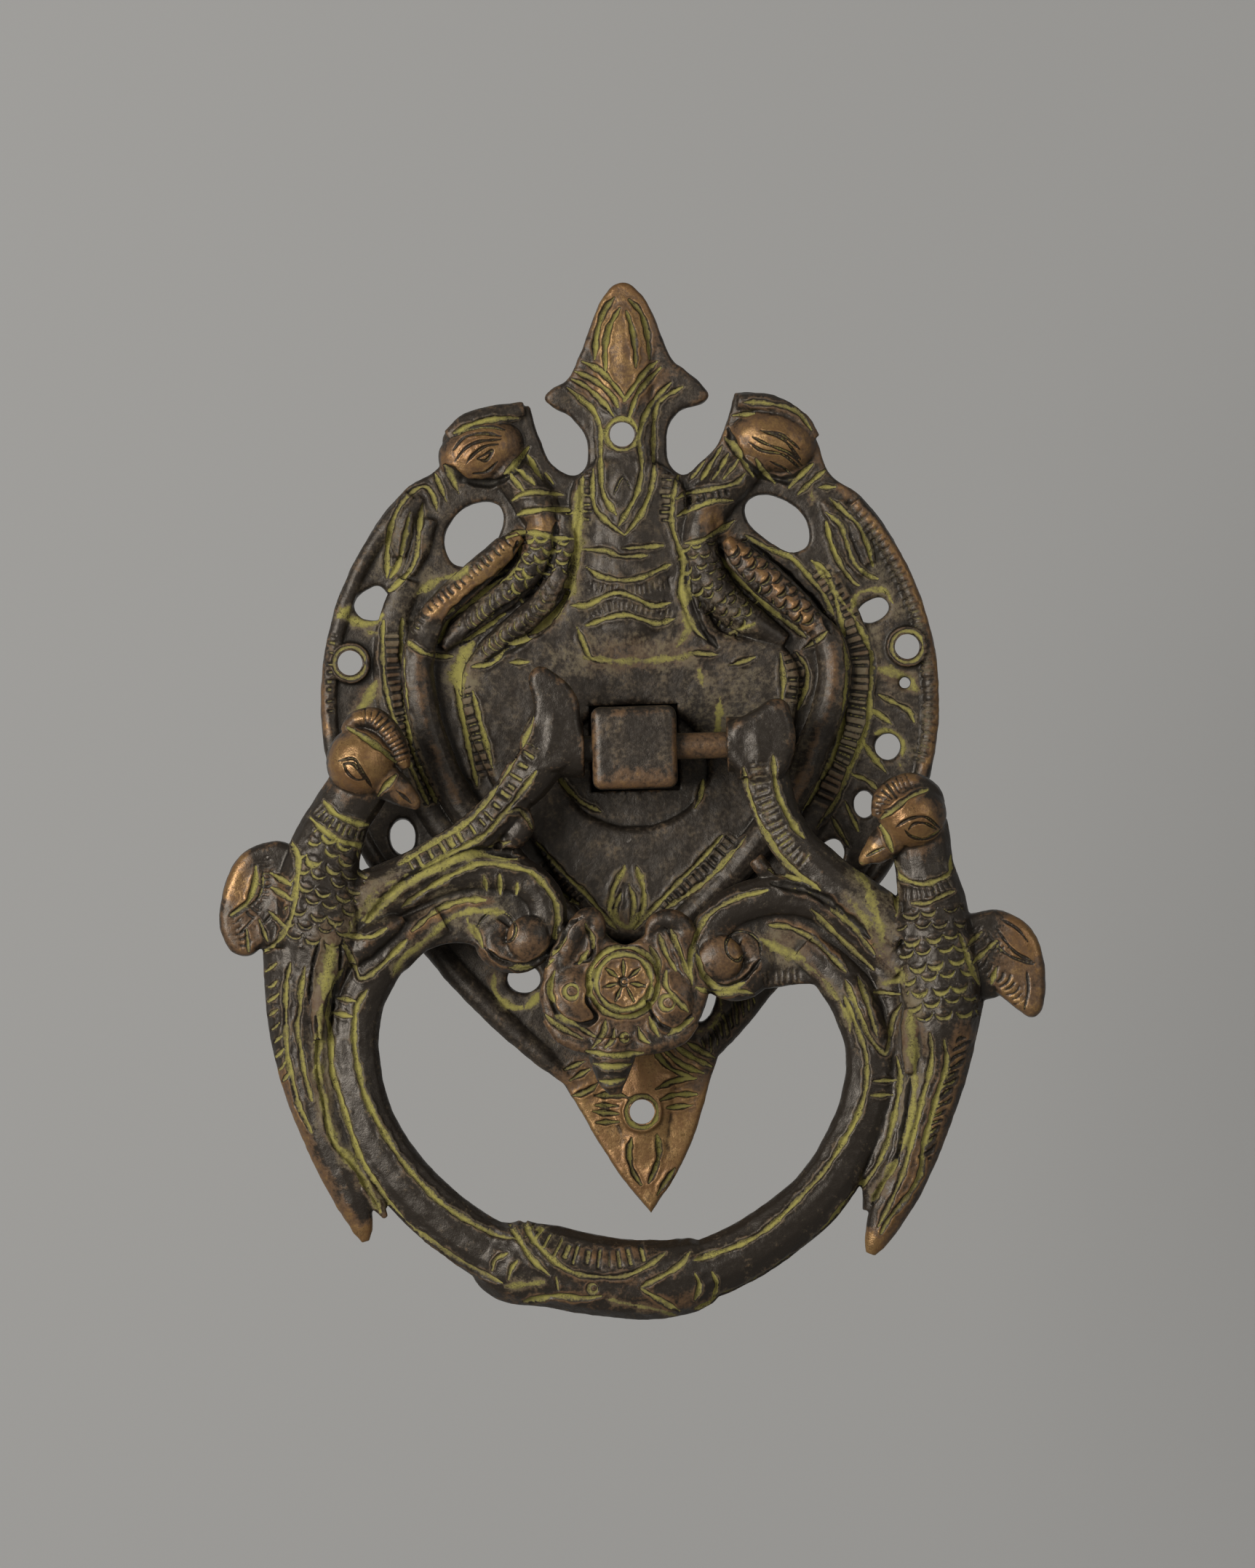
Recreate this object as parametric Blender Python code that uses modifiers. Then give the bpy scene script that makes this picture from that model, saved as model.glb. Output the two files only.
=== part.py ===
"""A cast brass door knocker: openwork back plate, hinge lug, hinge pin and bird ring.

The door is the plane y = 0 and the front faces -Y.  The origin lies on the plate's back face, behind
the pin.
Sizes are in millimetres: across is +X, up is +Z and out, away from the door, is -Y.
"""
import math

import bmesh
import bpy
from mathutils import Matrix, Vector

MM = 0.001

# The back plate
RIM_RADIUS = 48.8
RIM_CENTRE_UP = 7.3
RIM_CENTRE_ACROSS = -0.5
RIM_THICKNESS = 3.5
RIM_CORD = 1.3
FIELD_HEIGHT = 5.5
RIDGE_HEIGHT = 8.0
RIDGE_RADIUS = 2.7
BAND_RADIUS = 2.2
BIRD_HEIGHT = 7.5
TAIL_HEIGHT = 5.2
HOLLOW_WIDTH = 23.2
HOLLOW_TALL = 19.2
HOLLOW_DROP = 3.0
HOLLOW_FLOOR = 4.3
SCREW_HOLE = 4.0
SCREW_COLLAR = 7.0
COLLAR_HEIGHT = 5.0

# The hinge: a lug set in the plate, and a pin through it
PIN_DIAMETER = 4.2
PIN_LENGTH = 40.0
PIN_END_ROUND = 0.5
LUG_WIDTH = 13.4
LUG_TALL = 13.0
LUG_WALL = 2.6
LUG_EDGE = 1.5
TENON_WIDTH = 7.0
TENON_TALL = 6.0
TENON_DEPTH = 2.2
FIT = 0.3

# The ring
ARM_RADIUS = 3.6
HOOP_RADIUS = 4.3
FILLET_RADIUS = 2.6
PAD_RADIUS = 6.5
PAD_DROP = 82.5
HEAD_RADIUS = 5.5
WING_BACK = 3.2
WING_FRONT = 2.6
WING_ROUND = 1.4
ROSETTE_RADIUS = 5.2
RING_SQUEEZE = 0.85
KNUCKLE_RADIUS = 4.4
KNUCKLE_LEFT = 8.0
KNUCKLE_RIGHT = 9.5
PLAY_LEFT = 1.3
PLAY_RIGHT = 7.9
RING_AIR = 4.0

# The castings' skins
GRAIN = 0.6
PLATE_TRIANGLES = 7600
RING_TRIANGLES = 8600

PIN_DEPTH = RIDGE_HEIGHT + ARM_RADIUS + RING_AIR
LUG_FRONT = PIN_DEPTH + PIN_DIAMETER / 2 + LUG_WALL
LUG_BACK = RIM_THICKNESS + FIT
BEHIND = 2.0

# The castings are drawn for a rim radius of 48.8 mm and a drop of 82.5 mm, and grow with them
PLATE_SCALE = RIM_RADIUS / 48.8
RING_SCALE = PAD_DROP / 82.5


def spot(across, up, out=0.0):
    """A place in Blender's units from millimetres across, up and out from the door."""
    return Vector((across, -out, up)) * MM


def corner(across, up):
    """An outline point where the edge turns sharply."""
    return (across, up, "corner")


def grown(points, scale):
    """Drawn places and radii, grown with their casting."""
    return [tuple(value if isinstance(value, str) else value * scale for value in point) for point in points]


def thickened(path, scale, radius):
    """A cord's path from (across, up, share of the radius) points, grown with its casting."""
    return [(across * scale, up * scale, radius * share) for across, up, share in path]


def arc(across, up, radius, start, stop, count):
    """Points on a round stretch of an outline, from one angle to another in degrees."""
    points = []
    for step in range(count):
        angle = math.radians(start + (stop - start) * step / (count - 1))
        points.append((across + radius * math.cos(angle), up + radius * math.sin(angle)))
    return points


def oval(across, up, wide, tall, tilt=0.0, count=8):
    """A closed oval outline from its half sizes, tilted in degrees."""
    turn = math.radians(tilt)
    points = []
    for step in range(count):
        angle = 2 * math.pi * step / count
        side, rise = wide * math.cos(angle), tall * math.sin(angle)
        points.append((across + side * math.cos(turn) - rise * math.sin(turn),
                       up + side * math.sin(turn) + rise * math.cos(turn)))
    return points


def mesh_of(curve, matrix):
    """The closed mesh of a curve, in the frame that matrix gives."""
    holder = bpy.data.objects.new("outline", curve)
    bpy.context.scene.collection.objects.link(holder)
    depsgraph = bpy.context.evaluated_depsgraph_get()
    mesh = bpy.data.meshes.new_from_object(holder.evaluated_get(depsgraph))
    bpy.data.objects.remove(holder)
    bpy.data.curves.remove(curve)
    shape = bmesh.new()
    shape.from_mesh(mesh)
    bpy.data.meshes.remove(mesh)
    bmesh.ops.remove_doubles(shape, verts=shape.verts, dist=0.01 * MM)
    bmesh.ops.recalc_face_normals(shape, faces=shape.faces)
    bmesh.ops.transform(shape, matrix=matrix, verts=shape.verts)
    return shape


def slab(outline, back, front, holes=(), rounding=0.8):
    """A flat shape between two depths, from smooth closed outlines."""
    curve = bpy.data.curves.new("slab", "CURVE")
    curve.dimensions = "2D"
    curve.fill_mode = "BOTH"
    curve.resolution_u = 4
    curve.bevel_depth = rounding * MM
    curve.bevel_resolution = 2
    curve.offset = -rounding * MM
    curve.extrude = ((front - back) / 2 - rounding) * MM
    for loop in (outline, *holes):
        spline = curve.splines.new("BEZIER")
        spline.bezier_points.add(len(loop) - 1)
        spline.use_cyclic_u = True
        for knot, point in zip(spline.bezier_points, loop):
            kind = "VECTOR" if len(point) == 3 else "AUTO"
            knot.co = Vector((point[0], point[1], 0)) * MM
            knot.handle_left_type = kind
            knot.handle_right_type = kind
    upright = Matrix.Translation(spot(0, 0, (back + front) / 2)) @ Matrix.Rotation(math.pi / 2, 4, "X")
    return mesh_of(curve, upright)


def cord(path, out=0.0, squeeze=1.0):
    """A round cord through (across, up, radius) points, squeezed front to back, set out from the door."""
    curve = bpy.data.curves.new("cord", "CURVE")
    curve.dimensions = "3D"
    curve.bevel_depth = MM
    curve.bevel_resolution = 3
    curve.use_fill_caps = True
    curve.resolution_u = 5
    spline = curve.splines.new("BEZIER")
    spline.bezier_points.add(len(path) - 1)
    for knot, (across, up, radius) in zip(spline.bezier_points, path):
        knot.co = spot(across, up)
        knot.radius = radius
        knot.handle_left_type = "AUTO"
        knot.handle_right_type = "AUTO"
    return mesh_of(curve, Matrix.Translation(spot(0, 0, out)) @ Matrix.Diagonal((1, squeeze, 1, 1)))


def lump(across, up, out, wide, tall, deep, tilt=0.0):
    """An egg-shaped lump from its half sizes, tilted in the plane of the door."""
    shape = bmesh.new()
    bmesh.ops.create_uvsphere(shape, u_segments=24, v_segments=14, radius=MM)
    turn = Matrix.Rotation(math.radians(-tilt), 4, "Y")
    matrix = Matrix.Translation(spot(across, up, out)) @ turn @ Matrix.Diagonal((wide, deep, tall, 1))
    bmesh.ops.transform(shape, matrix=matrix, verts=shape.verts)
    return shape


def barrel(left, right, radius, up=0.0, out=0.0):
    """A round bar that runs across, from its left end to its right end."""
    shape = bmesh.new()
    bmesh.ops.create_cone(shape, cap_ends=True, segments=32, radius1=radius * MM, radius2=radius * MM,
                          depth=(right - left) * MM)
    matrix = Matrix.Translation(spot((left + right) / 2, up, out)) @ Matrix.Rotation(math.pi / 2, 4, "Y")
    bmesh.ops.transform(shape, matrix=matrix, verts=shape.verts)
    return shape


def block(left, right, low, high, back, front):
    """A plain block between the given places."""
    shape = bmesh.new()
    bmesh.ops.create_cube(shape, size=MM)
    middle = spot((left + right) / 2, (low + high) / 2, (back + front) / 2)
    matrix = Matrix.Translation(middle) @ Matrix.Diagonal((right - left, front - back, high - low, 1))
    bmesh.ops.transform(shape, matrix=matrix, verts=shape.verts)
    return shape


def drill(across, up, diameter, back, front):
    """A round bar that runs out from the door, for a hole or a collar."""
    shape = bmesh.new()
    bmesh.ops.create_cone(shape, cap_ends=True, segments=24, radius1=diameter / 2 * MM,
                          radius2=diameter / 2 * MM, depth=(front - back) * MM)
    matrix = Matrix.Translation(spot(across, up, (back + front) / 2)) @ Matrix.Rotation(math.pi / 2, 4, "X")
    bmesh.ops.transform(shape, matrix=matrix, verts=shape.verts)
    return shape


def solid(name, shape, collection):
    """An object from a finished shape."""
    mesh = bpy.data.meshes.new(name)
    shape.to_mesh(mesh)
    shape.free()
    thing = bpy.data.objects.new(name, mesh)
    collection.objects.link(thing)
    return thing


def casting(name, shapes, triangles, collection):
    """One skin over overlapping shapes, softened like worn wax and thinned to about so many triangles."""
    joined = bmesh.new()
    for shape in shapes:
        mesh = bpy.data.meshes.new("lump")
        shape.to_mesh(mesh)
        shape.free()
        joined.from_mesh(mesh)
        bpy.data.meshes.remove(mesh)
    thing = solid(name, joined, collection)
    skin = thing.modifiers.new("skin", "REMESH")
    skin.mode = "VOXEL"
    skin.voxel_size = GRAIN * MM
    soften = thing.modifiers.new("soften", "SMOOTH")
    soften.factor = 0.5
    soften.iterations = 3
    thin = thing.modifiers.new("thin", "DECIMATE")
    thin.use_collapse_triangulate = True
    skinned = thing.evaluated_get(bpy.context.evaluated_depsgraph_get())
    skinned.data.calc_loop_triangles()
    thin.ratio = min(1.0, triangles / len(skinned.data.loop_triangles))
    finished = thing.evaluated_get(bpy.context.evaluated_depsgraph_get())
    mesh = bpy.data.meshes.new_from_object(finished)
    thing.modifiers.clear()
    thing.data = mesh
    return thing


def cut(thing, shape, cutters, name, operation="DIFFERENCE"):
    """Take a shape away from an object, or add it, with a hidden cutter."""
    cutter = solid(name, shape, cutters)
    cutter.parent = thing.parent
    cutter.hide_render = True
    cutter.display_type = "WIRE"
    modifier = thing.modifiers.new(name, "BOOLEAN")
    modifier.operation = operation
    modifier.solver = "EXACT"
    modifier.object = cutter


def brass(name, colour, roughness):
    """A worn brass finish."""
    material = bpy.data.materials.new(name)
    material.use_nodes = True
    shader = material.node_tree.nodes["Principled BSDF"]
    shader.inputs["Base Color"].default_value = (*colour, 1)
    shader.inputs["Roughness"].default_value = roughness
    shader.inputs["Metallic"].default_value = 0.8
    material.diffuse_color = (*colour, 1)
    return material


def finish(thing, material):
    """Give an object its material and smooth shading."""
    thing.data.materials.clear()
    thing.data.materials.append(material)
    thing.data.shade_smooth()
    thing.data.set_sharp_from_angle(angle=math.radians(50))


def plate_outline():
    """The plate's edge: spear finial, left side, spear tail, right side."""
    finial_left = [(0.3, 73.5), (-2.8, 71.3), (-4.5, 68), (-7, 61.8), (-8.8, 58.5), (-11.8, 56.6),
                   (-12.5, 55.6), (-11.8, 54.6), (-8.3, 52.3), (-6, 48)]
    head_left = [(-7.5, 43.5), (-11.5, 45), (-13.5, 49), corner(-15, 54.5), (-25, 52.5), (-28.5, 50.5),
                 (-29, 46)]
    rim_left = arc(RIM_CENTRE_ACROSS, RIM_CENTRE_UP, RIM_RADIUS, 135, 215, 7)
    tail = [(-32.5, -30.5), (-21, -44), (-16, -48), (-12, -54), (-4.5, -67), corner(0.5, -73.5),
            (5.5, -66), (8.5, -59), (10.5, -52.5), (13.5, -45.5), (20, -39)]
    rim_right = arc(RIM_CENTRE_ACROSS, RIM_CENTRE_UP, RIM_RADIUS, -40, 40, 7)
    head_right = [(32, 42.5), (30, 48), (26, 53), (20.5, 55.5), corner(17.5, 55.5), (14.5, 47.5), (12, 45)]
    finial_right = [(8.5, 43), (6.5, 48.5), (8.5, 52.8), (12.4, 54.2), (13.3, 55.2), (12.9, 56.2),
                    (9.5, 59.7), (8, 60.8), (6.3, 64.5), (4.7, 68.8), (2.8, 72)]
    return (grown(finial_left + head_left, PLATE_SCALE) + rim_left + grown(tail, PLATE_SCALE) + rim_right
            + grown(head_right + finial_right, PLATE_SCALE))


def plate_openwork():
    """The openings through the plate, beside each bird, along the rim and in the V above the tail."""
    loops = [
        [(-29, 32.5), (-27.5, 37), (-23, 39.5), (-20, 38.5), (-20, 35), (-23.5, 30.5), (-27, 29.5)],
        [(18.5, 37), (20, 39), (24.5, 38.5), (28.5, 34), (27.5, 30.5), (21.5, 32.5)],
        [(-43.5, 23), (-41, 26.5), (-39, 26.5), (-38.5, 22)],
        [(36, 19.5), (38.5, 22.5), (40.5, 22), (40.5, 20)],
        oval(-41.5, -3, 2, 2.2), oval(-37, -13, 2, 2.8), oval(-31, -21.5, 1.8, 2.4, 40),
        oval(43, 9, 0.9, 0.9), oval(40, -1, 2, 2.1), oval(36, -10, 1.6, 2.2),
        oval(30.5, -18, 2, 2.8, -20), oval(-18.5, -36, 2.6, 2.2), oval(10, -40.5, 1.5, 3.2, -20),
    ]
    return [grown(loop, PLATE_SCALE) for loop in loops]


def relief_bird(side, head, crest, neck, wing, body, inner):
    """One relief bird of the plate: its head, crest and neck, and the three rolls of its wing and body."""
    base = RIM_THICKNESS
    across, up, wide, tall = (value * PLATE_SCALE for value in (*head, 7, 4.8))
    return [
        lump(across, up, base - 0.8, wide, tall, BIRD_HEIGHT - base + 0.4, 15 * side),
        cord(grown(crest, PLATE_SCALE), base),
        cord(grown(neck, PLATE_SCALE), base - 0.8, 1.05),
        cord(grown(body, PLATE_SCALE), base + 0.4, 1.15),
        cord(grown(inner, PLATE_SCALE), base + 0.6, 1.2),
        cord(grown(wing, PLATE_SCALE), BIRD_HEIGHT - 2.2),
    ]


def screw_places():
    """The middles of the plate's screw holes: top, tail, left and right."""
    reach = RIM_RADIUS - 4.8
    side_up = RIM_CENTRE_UP + 7.4
    left, right = RIM_CENTRE_ACROSS - reach, RIM_CENTRE_ACROSS + reach
    return grown([(-0.5, 49.5), (-0.5, -57.5)], PLATE_SCALE) + [(left, side_up), (right, side_up)]


def plate_shapes():
    """The lumps, slabs and cords that make up the back plate."""
    inner_rim = RIM_RADIUS - RIM_CORD
    shapes = [slab(plate_outline(), -BEHIND, RIM_THICKNESS, plate_openwork())]
    for start, stop in ((135, 215), (-40, 40)):
        edge = arc(RIM_CENTRE_ACROSS, RIM_CENTRE_UP, inner_rim, start, stop, 9)
        shapes.append(cord([(across, up, RIM_CORD) for across, up in edge], RIM_THICKNESS - 0.2))
    for across, up in screw_places():
        shapes.append(drill(across, up, SCREW_COLLAR, 0, COLLAR_HEIGHT))

    field = [(-7, 43.5), (7.5, 43), (9, 28.5), (12.5, 19), (25, 14), (25.5, 4), (19, -12.5), (-1, -31),
             (-16, -15), (-24.5, -0.5), (-27, 10), (-25, 15.5), (-12.5, 20), (-8.5, 29)]
    hollow = oval(0, -HOLLOW_DROP, HOLLOW_WIDTH / 2, HOLLOW_TALL / 2, 0, 12)
    floor = oval(0, -HOLLOW_DROP, HOLLOW_WIDTH / 2 + 1, HOLLOW_TALL / 2 + 1, 0, 12)
    shapes.append(slab(grown(field, PLATE_SCALE), 0, FIELD_HEIGHT, [hollow], 1.2))
    shapes.append(slab(floor, 0, HOLLOW_FLOOR, (), 0.5))
    column = [(-0.2, 50, 2), (-0.2, 45, 5), (0, 38, 6.8), (0.3, 27, 8), (0.3, 19, 7)]
    shapes.append(cord(grown(column, PLATE_SCALE), RIM_THICKNESS, 0.4))

    ridge_left = [(-31, 21, 0.6), (-33.5, 16, 1), (-33.5, 9, 1), (-31.5, 0.5, 1), (-28, -7.5, 1),
                  (-22.5, -14.5, 1), (-16, -22, 0.9), (-9, -29, 0.8), (-1.5, -35.5, 0.6)]
    ridge_right = [(28.5, 20, 0.6), (31.5, 15, 1), (31.5, 8, 1), (28.5, 0, 1), (25, -7.5, 1),
                   (19.5, -15, 1), (12.5, -22.5, 0.9), (5, -29.5, 0.8), (-1.5, -35.5, 0.6)]
    for ridge in (ridge_left, ridge_right):
        shapes.append(cord(thickened(ridge, PLATE_SCALE, RIDGE_RADIUS), RIDGE_HEIGHT - RIDGE_RADIUS))
    for band in ([(-35, 27.5), (-38, 19.5), (-37.5, 4.5), (-32.5, -8.5), (-25, -19)],
                 [(31.5, 26), (35.5, 15), (35.5, 5), (32, -4), (26.5, -14)]):
        path = [(across, up, 1) for across, up in band]
        shapes.append(cord(thickened(path, PLATE_SCALE, BAND_RADIUS), RIM_THICKNESS, 0.5))

    shapes += relief_bird(1, (-22.75, 47.5),
                          [(-28, 50, 1), (-25, 52, 1.6), (-21, 53, 1.7), (-15.8, 54, 1.2)],
                          [(-21, 46.5, 2.6), (-16.75, 42.5, 3.4), (-14.5, 39.25, 3.6), (-13, 35, 2.8)],
                          [(-17, 34, 0.9), (-19.5, 32, 2.1), (-24.75, 27.5, 2.4), (-30, 23, 2.3),
                           (-33.25, 19.5, 1.8), (-34.75, 17, 0.9)],
                          [(-13.75, 39.25, 2.3), (-13.5, 34, 2.8), (-15, 30, 2.5), (-18, 26.25, 2.3),
                           (-22.75, 22.5, 2.1), (-27.25, 19, 1.6), (-29.75, 16.5, 0.7)],
                          [(-10, 37.5, 1.2), (-10.25, 31.25, 2), (-12.5, 24.75, 2.1), (-17, 20.5, 2),
                           (-22.25, 16.75, 1.5), (-25.25, 13.75, 0.7)])
    shapes += relief_bird(-1, (23.25, 47.75),
                          [(18, 54.3, 1.2), (23, 53.5, 1.7), (28, 50.5, 1.4), (30, 48, 0.8)],
                          [(21.5, 45.5, 2.6), (16.5, 41.5, 3.4), (13.5, 38.5, 3.6), (12, 34, 2.8)],
                          [(15.5, 32.5, 0.9), (17.25, 30, 2.3), (21.75, 25.75, 2.9), (26.75, 21, 2.5),
                           (29.5, 17.75, 1.7), (30.75, 15.5, 0.8)],
                          [(13, 38.5, 2.3), (11.25, 34, 2.8), (12, 28.25, 3), (14.5, 23.25, 3),
                           (19.25, 19.25, 2.5), (24.25, 16, 1.4)],
                          [(9, 34, 0.7), (9.5, 27, 1.4), (10.5, 21.25, 1.6), (13.5, 16.75, 1.2),
                           (16.25, 15, 0.5)])
    for leaf in ([(-36.25, 31.25, 1.2), (-35.75, 34.75, 1.6), (-34.5, 38.25, 1.4), (-32.5, 40.5, 0.9)],
                 [(-34.5, 28.5, 0.9), (-32.75, 32.25, 1.4), (-31, 37, 1.2)],
                 [(30.75, 38, 0.7), (33, 34.5, 1.5), (34.5, 30.5, 1.5), (36.75, 26.25, 0.9)],
                 [(33.75, 38, 0.9), (36.25, 33.25, 1.4), (38, 28, 1)]):
        shapes.append(cord(grown(leaf, PLATE_SCALE), RIM_THICKNESS - 0.2))

    rise = TAIL_HEIGHT - RIM_THICKNESS
    spear = [(0.5, 71, 2), (0.2, 66, 4), (0, 61, 5), (-0.3, 55, 5), (-0.3, 46, 5)]
    shapes.append(cord(grown(spear, PLATE_SCALE), RIM_THICKNESS - 0.8, (rise + 0.8) / 5))
    tail = [(-1, -44, 6.5), (-0.6, -54, 6), (0, -62, 4), (0.5, -70, 1.6)]
    shapes.append(cord(grown(tail, PLATE_SCALE), RIM_THICKNESS - 0.8, (rise + 0.8) / 6))
    for arm in ([(-40, -20, 1.2), (-32.5, -30.75, 1.9), (-22.25, -42.25, 2), (-16, -48.25, 1.7),
                 (-11, -53, 0.9)],
                [(34.75, -23.75, 1.2), (20, -37.75, 1.8), (13.5, -45, 1.9), (9.75, -49, 1.5),
                 (7.5, -52, 0.7)]):
        shapes.append(cord(grown(arm, PLATE_SCALE), RIM_THICKNESS - 0.8))
    return shapes


def back_plate(collection, cutters):
    """The plate casting, flat behind, with its screw holes and the lug's socket."""
    thing = casting("back_plate", plate_shapes(), PLATE_TRIANGLES, collection)
    far = 2 * RIM_RADIUS
    cut(thing, block(-far, far, -far, far, -10 * BEHIND, 0), cutters, "plate_back_cut")
    for number, (across, up) in enumerate(screw_places()):
        shape = drill(across, up, SCREW_HOLE, -BEHIND, RIDGE_HEIGHT + BEHIND)
        cut(thing, shape, cutters, f"screw_hole_{number}")
    seat = block(-LUG_WIDTH / 2 - FIT, LUG_WIDTH / 2 + FIT, -LUG_TALL / 2 - FIT, LUG_TALL / 2 + FIT,
                 RIM_THICKNESS, LUG_FRONT)
    cut(thing, seat, cutters, "lug_seat")
    socket = block(-TENON_WIDTH / 2 - FIT, TENON_WIDTH / 2 + FIT, -TENON_TALL / 2 - FIT,
                   TENON_TALL / 2 + FIT, RIM_THICKNESS - TENON_DEPTH - FIT, LUG_FRONT)
    cut(thing, socket, cutters, "tenon_socket")
    finish(thing, brass("plate_brass", (0.055, 0.046, 0.036), 0.5))
    return thing


def hinge_lug(collection, cutters):
    """The squared lug with its tenon and the pin's bore."""
    body = block(-LUG_WIDTH / 2, LUG_WIDTH / 2, -LUG_TALL / 2, LUG_TALL / 2, LUG_BACK, LUG_FRONT)
    thing = solid("hinge_lug", body, collection)
    edge = thing.modifiers.new("worn_edges", "BEVEL")
    edge.width = LUG_EDGE * MM
    edge.segments = 3
    tenon = block(-TENON_WIDTH / 2, TENON_WIDTH / 2, -TENON_TALL / 2, TENON_TALL / 2,
                  RIM_THICKNESS - TENON_DEPTH, LUG_BACK + LUG_EDGE)
    cut(thing, tenon, cutters, "lug_tenon", "UNION")
    bore = barrel(-LUG_WIDTH, LUG_WIDTH, PIN_DIAMETER / 2 + FIT, 0, PIN_DEPTH)
    cut(thing, bore, cutters, "lug_bore")
    finish(thing, brass("lug_brass", (0.06, 0.05, 0.042), 0.42))
    return thing


def pin_middle():
    """How far the pin's middle lies across from the lug's middle."""
    left = -LUG_WIDTH / 2 - PLAY_LEFT - KNUCKLE_LEFT
    right = LUG_WIDTH / 2 + PLAY_RIGHT + KNUCKLE_RIGHT
    return (left + right) / 2


def hinge_pin(collection, axis):
    """The round pin, with its ends slightly rounded over."""
    middle = pin_middle()
    rod = barrel(middle - PIN_LENGTH / 2, middle + PIN_LENGTH / 2, PIN_DIAMETER / 2)
    thing = solid("hinge_pin", rod, collection)
    thing.parent = axis
    rounding = thing.modifiers.new("peened_ends", "BEVEL")
    rounding.width = PIN_END_ROUND * MM
    rounding.segments = 2
    finish(thing, brass("pin_brass", (0.33, 0.2, 0.12), 0.35))
    return thing


def ring_bird(head, crest, beak, neck, tail, wing):
    """One bird of the ring: head with crest and beak, neck and body, long tail and leaf-shaped wing."""
    ((head_across, head_up),) = grown([head], RING_SCALE)
    return [
        lump(head_across, head_up, 3.2, HEAD_RADIUS, HEAD_RADIUS, HEAD_RADIUS),
        cord(grown(crest, RING_SCALE), 3.4, 1.5),
        cord(grown(beak, RING_SCALE), 3.4),
        cord(grown(neck, RING_SCALE), 1.2, RING_SQUEEZE),
        cord(grown(tail, RING_SCALE), 0.4, 0.8),
        slab(grown(wing, RING_SCALE), -WING_BACK, WING_FRONT, (), WING_ROUND),
    ]


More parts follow.
